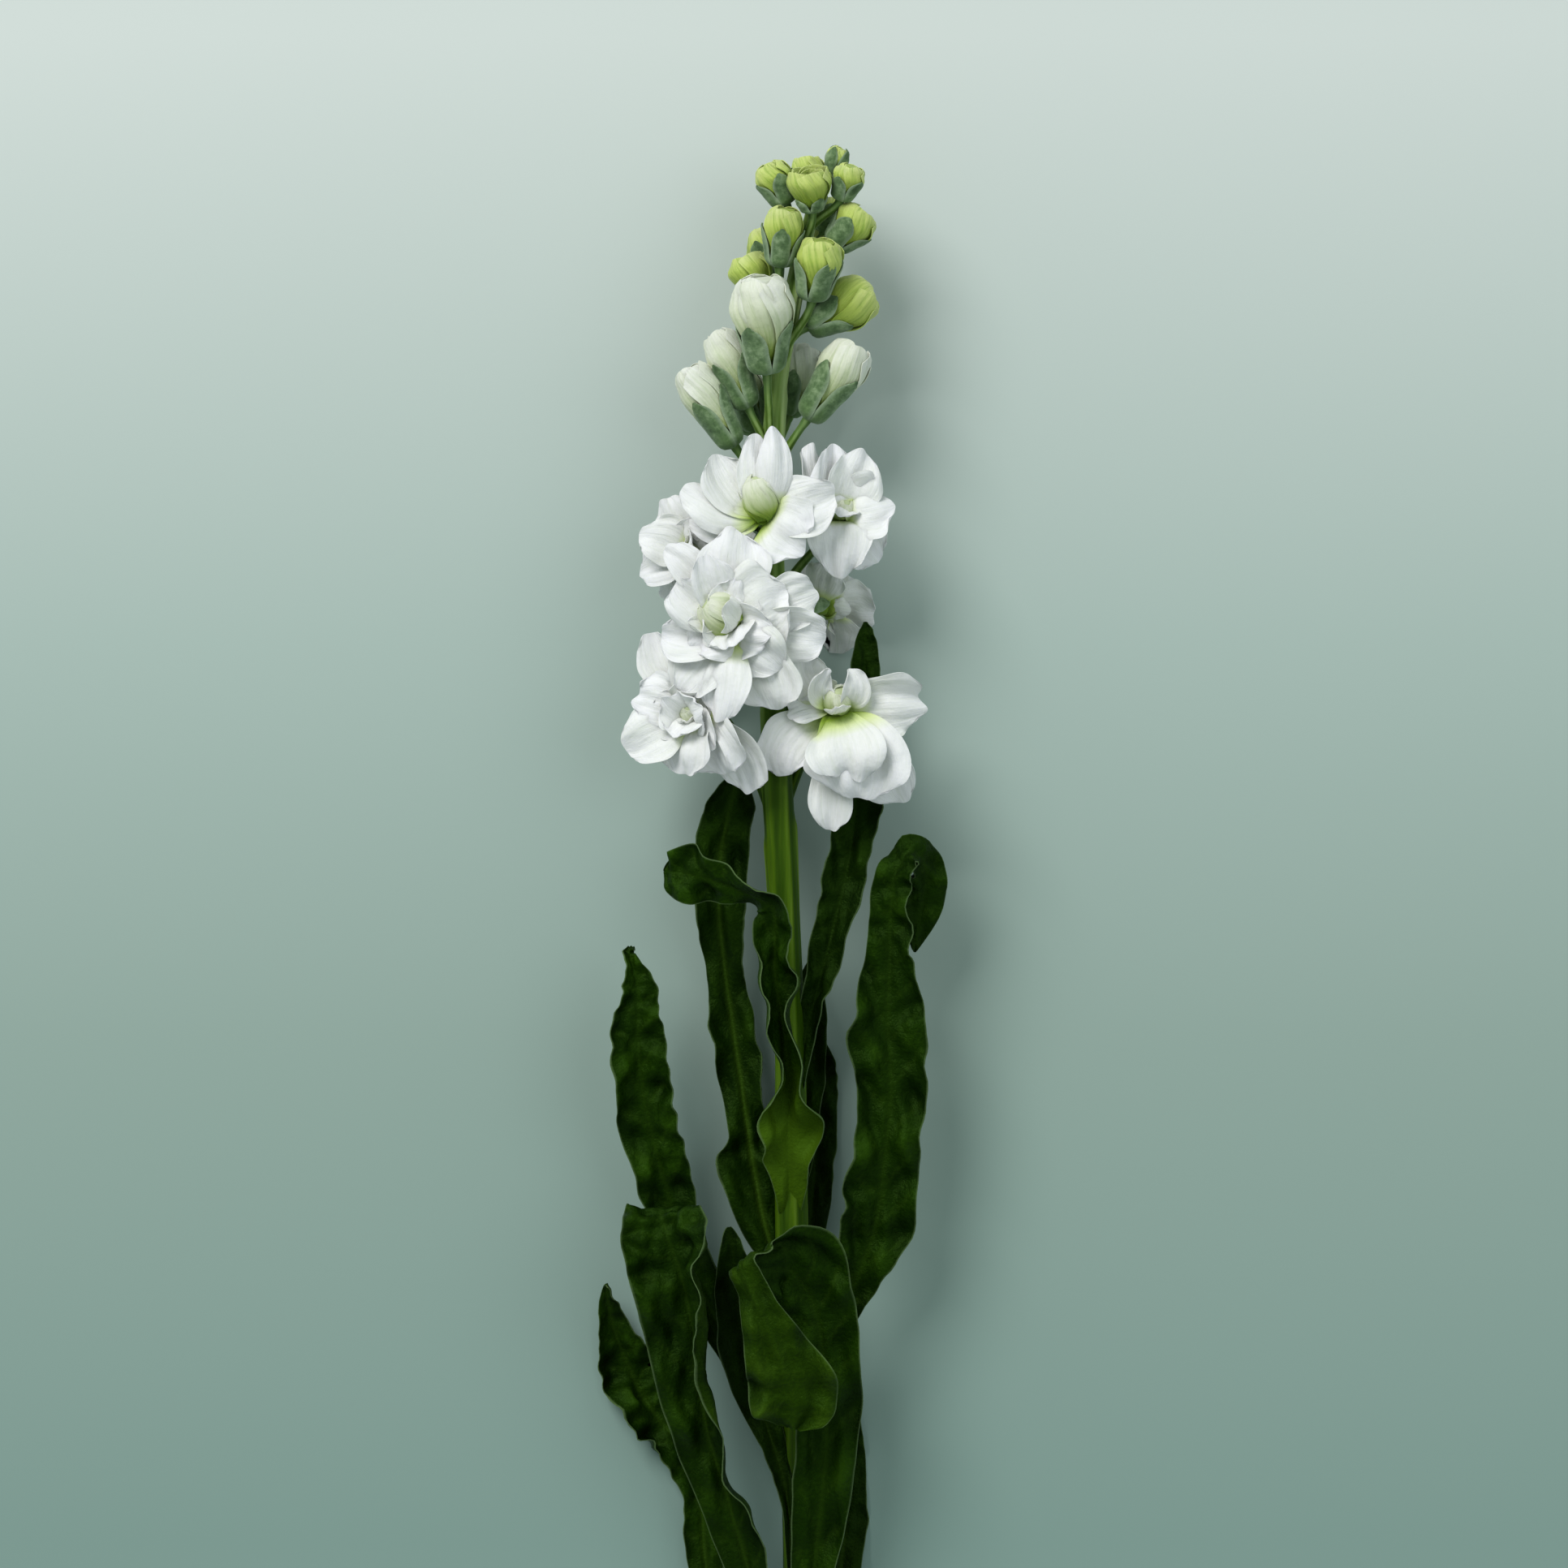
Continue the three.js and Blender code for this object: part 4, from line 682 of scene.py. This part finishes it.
def ring_petals(middle, out, ring, key):
    """The petals set around the axis by rule in two layers, as rows like the placed ones."""
    count, length, lean, half = ring
    rows = []
    for i in range(count):
        inner = i % 2
        angle = 2 * math.pi * (i + 0.3 * noise(key + i)) / count + key
        tilt = math.radians(lean - 28 * inner)
        reach = length * (0.84 if inner else 1) * (0.92 + 0.16 * noise(key + i + 40))
        row = []
        for share, leaning in ((0.5, tilt - 0.25), (1, tilt)):
            way = out * math.cos(leaning) + beside(out, angle) * math.sin(leaning)
            row += list(middle + way * share * reach)
        rows.append(row + [half, 25])
    return rows


def heart_radius(height, length, radius):
    """A knot of unopened petals: slim at its foot, full at two fifths and domed at its top."""
    share = limit(height / length)
    lower = 0.55 + 0.45 * np.sin(math.pi / 2 * limit(share / 0.42))
    upper = dome((share - 0.42) / 0.585)
    return radius * np.where(share < 0.42, lower, upper)


def make_bloom(bloom, key):
    """The petals of an open flower, from the outer ones to its heart."""
    middle, out, foot = bloom_form(bloom)
    piece = Piece()
    rows = list(bloom.get("petals", [])) + ring_petals(middle, out, bloom.get("ring", [0, 0, 0, 0]), key)
    for i, row in enumerate(rows):
        seed = key * 31 + i
        add_petal(piece, middle, out, row, seed, 0.02 + 0.05 * noise(seed + 0.5), seed * 0.37)
    dx, dy, dz, radius, length = bloom["heart"]
    towards = unit(vec(dx, dy, dz))
    # Crumpled petals between the outer ones and the heart
    fill, inner, reach = bloom.get("fill", (0, 3, 1))
    lifted = unit(out + 0.2 * towards)
    for i, row in enumerate(ring_petals(middle, lifted, [fill, reach, 66, 0.52 * reach], key + 0.5)):
        seed = key * 23 + i + 0.3
        add_petal(piece, middle, out, row, seed, 0.04, seed)
    # Small petals cupped round the heart
    for i in range(inner):
        seed = key * 17 + i * 0.83
        away = beside(towards, 2 * math.pi * (i + 0.4 * noise(seed)) / inner + key)
        via = middle + away * 1.2 * radius + towards * 0.35 * length
        tip = middle + away * (1.35 + 0.5 * noise(seed + 1)) * radius
        tip = tip + towards * (0.75 + 0.2 * noise(seed + 2)) * length
        add_petal(piece, middle, towards, [*via, *tip, 1.05 * radius, 50], seed, 0.12, seed, SHELL_GRID)
    # The claws in the calyx
    shares = np.linspace(0, 1, 8)[:, None]
    around = NECK_RADIUS * (0.75 + 0.35 * shares)
    claws = ring_around(foot, out, 1 + (NECK_LENGTH - 0.5) * shares, around, turns(16))
    add_rings(piece, claws, foot + out * 0.9, middle, "petal", along=0.06 * shares, tint=0.6)

    def profile(height):
        return heart_radius(height, length, radius)

    base = middle - towards * 0.5
    add_core(piece, base, towards, 0.93 * length, lambda h: 0.82 * profile(h), 0.62)
    layers = [(3, 0.98, 1.0, 3.2), (3, 0.86, 0.98, 3.0)]
    add_wraps(piece, base, towards, length, profile, layers, 0.38, key + 0.4)
    return piece


# Leaves
def leaf_surface(stations, length, wave, key):
    """A blade along the stations, with rolled halves, a waved margin and a rounded end."""
    height, count = wave
    phase = 2 * math.pi * noise(key)
    tip = LEAF_TIP / length

    def surface(u, v):
        row = along_rows(stations, u)
        midrib = row[..., :3]
        half, left, right = row[..., 3], row[..., 4], row[..., 5]
        half = half * np.sqrt(1 - 0.93 * limit((u - 1 + tip) / tip) ** 2)
        step = np.where(u > 0.5, -1e-3, 1e-3)
        along = unit((along_rows(stations, u + step)[..., :3] - midrib) * np.sign(step)[..., None])
        across = row[..., 6:]
        across = unit(across - along * dot(across, along))
        facing = np.cross(across, along)
        roll = np.radians(np.where(v < 0, left, right))
        first = 0.25 * roll
        bend = np.maximum(0.75 * roll, 1e-4)
        share = np.abs(v)
        sideways = half * (np.sin(first + bend * share) - np.sin(first)) / bend
        lift = half * (np.cos(first) - np.cos(first + bend * share)) / bend
        wave = 2 * math.pi * count * u + phase + np.where(v < 0, 0, 2)
        ruffle = height * share * share * np.sin(wave) * np.sin(math.pi * limit(u))
        point = midrib + across * (np.sign(v) * sideways)[..., None] + facing * (lift + ruffle)[..., None]
        point[..., 2] = np.maximum(point[..., 2], LEAF_THICK / 2)
        return point

    return surface


def make_leaf(leaf, key):
    """A leaf with its veins, its puckered faces and a rib along its underside."""
    stations = np.array([row if len(row) > 6 else row + ACROSS for row in leaf["stations"]], float)
    length = float(np.sum(np.linalg.norm(np.diff(stations[:, :3], axis=0), axis=1)))
    pairs = length / VEIN_SPACING
    sheath = leaf.get("sheath", 0)

    def half_at(u):
        return np.maximum(along_rows(stations, u)[..., 3], 0.8)

    def relief(u, v):
        """The lift of both faces, how much of a vein there is at each point, and its broad swells, which
        also set the leaf's painted shade and painted highlight.
        """
        half = half_at(u)
        share = np.abs(v)
        branch = u * pairs - share * 0.85 * (half / LEAF_HALF) + np.where(v < 0, 0, 0.5)
        branch = branch + 0.12 * ripples(2 * u, 2 * v, key + 2)
        apart = np.abs(branch - np.round(branch)) * length / pairs
        side_vein = np.exp(-((apart / 0.55) ** 2)) * smooth(0.02, 0.15, share)
        side_vein = side_vein * (1 - smooth(0.7, 0.95, share))
        midrib = np.exp(-((share * half / 0.8) ** 2)) * (1 - 0.7 * u)
        size = np.clip(half / LEAF_HALF, 0.25, 1.2)
        between = limit(apart / (0.5 * length / pairs))
        swell = size * (0.26 * np.sqrt(between) - 0.13) * smooth(0.05, 0.3, share)
        quilt = size * LEAF_QUILT * ripples(v * half / 14, u * length / 17, key + 3)
        quilt = quilt * smooth(0.0, 0.6, share)
        pucker = size * LEAF_PUCKER * ripples(v * half / 7, u * length / 8, key + 4)
        pucker = pucker * (0.3 + 0.7 * smooth(0.0, 0.4, share))
        fine = size * LEAF_GRAIN * ripples(v * half / 1.7, u * length / 2.1, key + 6)
        nicks = LEAF_NICKS * ripples(u * length / 5, v, key + 8) * share**6
        height = swell + quilt + pucker + fine + nicks - MIDRIB_DEPTH * midrib
        bright = leaf.get("rib", 1)
        return height, np.maximum(0.3 * side_vein, bright * midrib), quilt / size

    def thickness(u, v):
        margin = np.sqrt(np.clip(1 - 0.8 * np.abs(v) ** 10, 0.04, 1))
        rib = np.exp(-((np.abs(v) * half_at(u) / 0.9) ** 2)) * (1 - 0.75 * u)
        return 0.5 * LEAF_THICK * margin, 0.5 * LEAF_THICK * margin + 0.75 * rib

    def tint(u, v):
        return 1 - smooth(0.5 * sheath, sheath + 1e-6, u)

    piece = Piece()
    surface = leaf_surface(stations, length, leaf["wave"], key)
    # Painted shade for a leaf that lies in shadow, carried in its seed paint
    shade = leaf.get("shade", 0)
    add_blade(piece, surface, LEAF_GRID, thickness, "leaf", tint=tint, seed=shade, relief=relief)
    return piece


# Materials
class Nodes:
    """A material of nodes round one surface shader."""

    def __init__(self, name, **values):
        self.material = bpy.data.materials.new(name)
        self.material.use_nodes = True
        self.tree = self.material.node_tree
        self.shader = self.tree.nodes["Principled BSDF"]
        self.fill(self.shader, **values)

    def node(self, kind, **settings):
        made = self.tree.nodes.new(kind)
        for name, value in settings.items():
            setattr(made, name, value)
        return made

    def put(self, value, socket):
        """Links a socket, or sets it to a number, a vector or a colour of three numbers."""
        if isinstance(value, bpy.types.NodeSocket):
            self.tree.links.new(value, socket)
        else:
            socket.default_value = (*value, 1) if socket.type == "RGBA" else value

    def fill(self, node, **values):
        for name, value in values.items():
            self.put(value, node.inputs[name.replace("_", " ")])
        return node

    def line_up(self, node, *values):
        """Fills the first sockets of a node in order, and gives what comes out of it."""
        for value, socket in zip(values, node.inputs):
            self.put(value, socket)
        return node.outputs[0]

    def attribute(self, name):
        return self.node("ShaderNodeAttribute", attribute_name=name).outputs["Fac"]

    def place(self):
        """Where a point is, in metres in the part's frame."""
        return self.node("ShaderNodeTexCoord").outputs["Object"]

    def northing(self):
        """How far along +Y a point is."""
        split = self.node("ShaderNodeSeparateXYZ")
        self.put(self.place(), split.inputs[0])
        return split.outputs["Y"]

    def maths(self, operation, *values):
        return self.line_up(self.node("ShaderNodeMath", operation=operation), *values)

    def times(self, value, factor):
        return self.maths("MULTIPLY", value, factor)

    def weigh(self, a, weight_a, b, weight_b):
        """The sum of two values, each times its weight."""
        return self.maths("MULTIPLY_ADD", a, weight_a, self.times(b, weight_b))

    def grain(self, vector, scale, detail=3.0, rough=0.55):
        noise_node = self.node("ShaderNodeTexNoise")
        self.fill(noise_node, Vector=vector, Scale=scale, Detail=detail, Roughness=rough)
        return noise_node.outputs["Fac"]

    def ramp(self, value, *stops):
        """Colours by value, each stop given as where it is and its colour, or how bright a grey it is."""
        made = self.node("ShaderNodeValToRGB")
        self.put(value, made.inputs["Fac"])
        elements = made.color_ramp.elements
        while len(elements) < len(stops):
            elements.new(0.5)
        for element, (at, colour) in zip(elements, stops):
            element.position = at
            element.color = (*colour, 1) if isinstance(colour, tuple) else (colour, colour, colour, 1)
        return made.outputs["Color"]

    def blend(self, share, a, b, kind="MIX"):
        made = self.node("ShaderNodeMix", data_type="RGBA", blend_type=kind)
        for value, socket in ((share, 0), (a, 6), (b, 7)):
            self.put(value, made.inputs[socket])
        return made.outputs[2]

    def coat(self, colour, roughness, relief, depth, strength):
        """Gives the surface its colour, its roughness and its fine relief."""
        bump = self.fill(self.node("ShaderNodeBump"), Height=relief, Distance=depth, Strength=strength)
        self.fill(self.shader, Base_Color=colour, Roughness=roughness, Normal=bump.outputs[0])
        return self.material


def petal_material():
    """White with a yellow-green claw, or lime all over in a young bud, with fine veins and crinkles, and
    painted shade in their hollows and folds.
    """
    n = Nodes(
        "petal",
        Specular_IOR_Level=0.25, Sheen_Weight=0.08,
        Subsurface_Weight=0.25, Subsurface_Scale=0.0012, Subsurface_Radius=(1.0, 1.0, 0.8),
    )
    along, across = n.attribute("along"), n.attribute("across")
    tint, seed = n.attribute("tint"), n.attribute("seed")
    white = n.ramp(
        along,
        (0.0, (0.09, 0.17, 0.004)), (0.08, (0.30, 0.44, 0.04)), (0.2, (0.66, 0.75, 0.36)),
        (0.36, (0.815, 0.815, 0.81)), (1.0, (0.83, 0.82, 0.865)),
    )
    lime = n.ramp(
        along,
        (0.0, (0.10, 0.19, 0.005)), (0.3, (0.26, 0.36, 0.03)), (0.7, (0.46, 0.56, 0.12)),
        (1.0, (0.58, 0.65, 0.22)),
    )
    # The veins are noise drawn out along the petal, and each petal has its own
    fan = n.node("ShaderNodeCombineXYZ")
    fan = n.line_up(fan, n.times(across, 3.2), n.times(along, 0.7), n.times(seed, 9.0))
    veins = n.grain(fan, 2.6, 4.0, 0.6)
    # A faint green tint and painted shade in the hollows of the crinkles, and on green petals a deeper
    # painted shade in the folds
    hollow_tint_and_shade = n.ramp(veins, (0.3, (0.86, 0.89, 0.82)), (0.55, 1), (1.0, 1))
    crease_shade = n.ramp(veins, (0.34, (0.45, 0.62, 0.25)), (0.5, (0.9, 0.94, 0.8)), (0.62, 1))
    age = n.ramp(n.grain(n.place(), 130.0), (0.3, (0.93, 0.94, 0.92)), (0.6, 1), (0.8, (1, 0.985, 0.95)))
    colour = n.blend(0.5, n.blend(tint, white, lime), hollow_tint_and_shade, "MULTIPLY")
    colour = n.blend(n.times(tint, 0.6), colour, crease_shade, "MULTIPLY")
    colour = n.blend(0.6, colour, age, "MULTIPLY")
    crinkle = n.weigh(veins, 0.7, n.grain(n.place(), 420.0), 0.6)
    return n.coat(colour, n.ramp(veins, (0.2, 0.62), (0.8, 0.46)), crinkle, 0.0005, 0.8)


def leaf_material():
    """Dark felted green, lighter veins, a pale downy rim and an olive underside, with painted shade and
    painted highlights.
    """
    n = Nodes("leaf", Specular_IOR_Level=0.15, Specular_Tint=(0.4, 0.9, 0.15))
    vein = n.attribute("vein")
    fine = n.grain(n.place(), 950.0, 4.0, 0.65)
    mottle = n.maths("ADD", n.weigh(fine, 0.5, n.grain(n.place(), 70.0), 0.5), -0.03)
    # Painted shade in the hollows of the broad swells and painted highlight on their tops
    mottle = n.maths("MULTIPLY_ADD", n.attribute("crest"), 0.1, mottle)
    upper = n.ramp(
        mottle,
        (0.25, (0.0015, 0.007, 0.0001)), (0.5, (0.0045, 0.0165, 0.0002)),
        (0.75, (0.013, 0.038, 0.0012)),
    )
    lower = n.ramp(
        mottle,
        (0.25, (0.004, 0.013, 0.0002)), (0.5, (0.0105, 0.0285, 0.0005)), (0.75, (0.024, 0.054, 0.0025)),
    )
    colour = n.blend(n.attribute("under"), upper, lower)
    colour = n.blend(n.times(vein, 0.4), colour, (0.05, 0.11, 0.008))
    colour = n.blend(n.times(n.attribute("tint"), 0.8), colour, (0.05, 0.105, 0.004))
    # Painted shade: a leaf's seed holds how far it is darkened for lying in shadow
    colour = n.blend(n.attribute("seed"), colour, (0.001, 0.004, 0.0003))
    # The pale rim is the down of the margin together with a painted rim highlight
    rim = n.ramp(n.maths("ABSOLUTE", n.attribute("across")), (0.955, 0), (0.99, 0.4), (1.0, 0.6))
    colour = n.blend(rim, colour, (0.11, 0.17, 0.07))
    relief = n.maths("MULTIPLY_ADD", vein, -0.5, fine)
    return n.coat(colour, n.ramp(fine, (0.3, 0.3), (0.7, 0.42)), relief, 0.0005, 0.8)


def stem_material():
    """Fresh green, with pale ribs, darker furrows and fine streaks along it, and painted shade towards its
    foot.
    """
    n = Nodes(
        "stem",
        Specular_IOR_Level=0.2, Specular_Tint=(0.7, 0.95, 0.4),
        Subsurface_Weight=0.08, Subsurface_Scale=0.001,
    )
    drawn = n.fill(n.node("ShaderNodeMapping"), Vector=n.place(), Scale=(900, 45, 900))
    streak = n.grain(drawn.outputs[0], 1.0)
    rib = n.weigh(n.attribute("vein"), 0.62, streak, 0.38)
    low = n.ramp(
        rib,
        (0.2, (0.009, 0.03, 0.0004)), (0.45, (0.024, 0.062, 0.0008)), (0.62, (0.054, 0.112, 0.0025)),
        (0.85, (0.13, 0.215, 0.025)),
    )
    high = n.ramp(
        rib,
        (0.2, (0.05, 0.10, 0.014)), (0.45, (0.10, 0.18, 0.03)), (0.62, (0.19, 0.29, 0.08)),
        (0.85, (0.34, 0.45, 0.19)),
    )
    # Painted shade: the stem is painted darker towards its foot, where less light falls among the leaves
    climb = n.maths("MULTIPLY_ADD", n.northing(), 9.0, -0.5)
    colour = n.blend(n.ramp(climb, (0.0, 0), (1.0, 1)), low, high)
    colour = n.blend(n.attribute("tint"), colour, (0.10, 0.18, 0.07))
    return n.coat(colour, n.ramp(streak, (0.3, 0.42), (0.7, 0.6)), streak, 0.0003, 0.5)


def sepal_material():
    """Grey-green down, mottled, with a greener foot and pale edges."""
    n = Nodes(
        "sepal",
        Specular_IOR_Level=0.2, Sheen_Weight=0.25, Sheen_Roughness=0.6, Sheen_Tint=(0.8, 0.95, 0.8),
    )
    down = n.grain(n.place(), 620.0, 4.0, 0.65)
    mottle = n.weigh(down, 0.5, n.grain(n.place(), 210.0), 0.5)
    colour = n.ramp(
        mottle,
        (0.36, (0.03, 0.07, 0.018)), (0.5, (0.09, 0.16, 0.06)), (0.64, (0.22, 0.31, 0.16)),
    )
    colour = n.blend(n.ramp(n.attribute("along"), (0.0, 0.7), (0.35, 0)), colour, (0.09, 0.18, 0.035))
    edge = n.maths("ABSOLUTE", n.attribute("across"))
    colour = n.blend(n.ramp(edge, (0.6, 0), (1.0, 0.85)), colour, (0.26, 0.34, 0.22))
    return n.coat(colour, n.ramp(down, (0.3, 0.6), (0.7, 0.85)), down, 0.0005, 0.6)


FINISHES = {
    "petal": petal_material(),
    "leaf": leaf_material(),
    "stem": stem_material(),
    "sepal": sepal_material(),
}


# Assembly
scene = bpy.context.scene


def new_object(name, data):
    made = bpy.data.objects.new(name, data)
    scene.collection.objects.link(made)
    return made


def show(piece, node):
    """The piece as one object that stands for the node of the part."""
    mesh = bpy.data.meshes.new(node + "_skin")
    mesh.from_pydata((np.concatenate(piece.points) / 1000).tolist(), [], piece.faces)
    used = sorted(set(piece.finishes))
    for name in used:
        mesh.materials.append(FINISHES[name])
    mesh.polygons.foreach_set("material_index", [used.index(name) for name in piece.finishes])
    for name in PAINTS:
        values = np.concatenate(piece.paints[name]).astype(np.float32)
        mesh.attributes.new(name, "FLOAT", "POINT").data.foreach_set("value", values)
    mesh.shade_smooth()
    mesh.set_sharp_from_angle(angle=math.radians(60))
    mesh.update()
    made = new_object(node + "_skin", mesh)
    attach(made, "root")
    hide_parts(node)


def claws_radius(height):
    """Radius of what an open flower's cup holds, at a height above its foot."""
    return NECK_RADIUS * 1.15 * smooth(-1.5, 1.5, height)


def make_green():
    """The stem with every stalk, and the sepals of every bud and flower."""
    piece = Piece()
    stalks = []
    for k, row in enumerate(BUDS):
        foot, axis, length = bud_form(row)
        radius, cover, open_top, root = row[6:]
        stalks.append((root, foot))
        add_stalk(piece, foot, axis, root)

        def inside(height):
            return bud_radius(height, length, radius, open_top)

        add_sepals(piece, foot, axis, length * cover, inside, 0.0, k + 0.2)
    for k, bloom in enumerate(BLOOMS.values()):
        _, out, foot = bloom_form(bloom)
        stalks.append((bloom["root"], foot))
        add_stalk(piece, foot, out, bloom["root"])
        add_sepals(piece, foot, out, BLOOM_CALYX, claws_radius, 0.6, k + 40.2)
    add_stem(piece, stalks)
    return piece


show(make_green(), "stem")
for key, row in enumerate(BUDS):
    show(make_bud(row, key), f"bud_{key + 1:02d}")
for key, (node, bloom) in enumerate(BLOOMS.items()):
    show(make_bloom(bloom, key + 1), node)
for key, (node, leaf) in enumerate(LEAVES.items()):
    show(make_leaf(leaf, key), node)


# Floor, light and camera
def floor():
    """A plain floor with a painted light falloff: pale beyond the tip of the stem and darker towards its
    foot.
    """
    bpy.ops.mesh.primitive_plane_add(size=6, location=(0, 0, 0))
    made = bpy.context.object
    made.name = "floor"
    n = Nodes("floor", Roughness=0.9, Specular_IOR_Level=0.1)
    # Painted light falloff: the floor is painted darker towards the foot of the stem
    colour = n.ramp(
        n.maths("MULTIPLY_ADD", n.northing(), 2.5, 0.325),
        (0.01, (0.216, 0.32, 0.286)), (0.325, (0.288, 0.381, 0.340)), (0.475, (0.344, 0.437, 0.398)),
        (0.575, (0.388, 0.480, 0.442)), (0.95, (0.609, 0.654, 0.629)),
    )
    n.fill(n.shader, Base_Color=colour)
    made.data.materials.append(n.material)


def lamp(name, place, target, size, power, colour):
    data = bpy.data.lights.new(name, "AREA")
    data.shape = "DISK"
    data.size = size
    data.energy = power
    data.color = colour
    made = new_object(name, data)
    made.location = place
    direction = (Vector(target) - Vector(place)).normalized()
    made.rotation_euler = direction.to_track_quat("-Z", "Y").to_euler()


floor()
lamp("key", (-1.3, 1.9, 2.0), (0, 0.06, 0), 1.7, 71.0, (1.0, 0.985, 0.98))
lamp("fill", (1.8, 0.6, 2.4), (0, 0, 0), 2.4, 18.0, (0.9, 0.97, 1.0))

world = bpy.data.worlds.new("studio")
scene.world = world
world.use_nodes = True
sky = world.node_tree.nodes["Background"].inputs
sky["Color"].default_value = (0.80, 0.93, 0.90, 1)
sky["Strength"].default_value = 0.45

scene.view_settings.view_transform = "Standard"

# The camera looks straight down on the table and takes in 386 mm of it at the height of the stem.
FRAME_CENTRE = (3.2, 63.0)
FRAME_HALF = 193.2
STEM_LEVEL = 25
LENS = 150.0
SENSOR = 36.0
data = bpy.data.cameras.new("camera")
data.lens = LENS
data.sensor_width = SENSOR
data.clip_start = 0.05
data.clip_end = 20
camera = new_object("camera", data)
distance = FRAME_HALF / (SENSOR / 2 / LENS)
camera.location = (FRAME_CENTRE[0] / 1000, FRAME_CENTRE[1] / 1000, (STEM_LEVEL + distance) / 1000)
camera.rotation_euler = (0, 0, 0)
scene.camera = camera
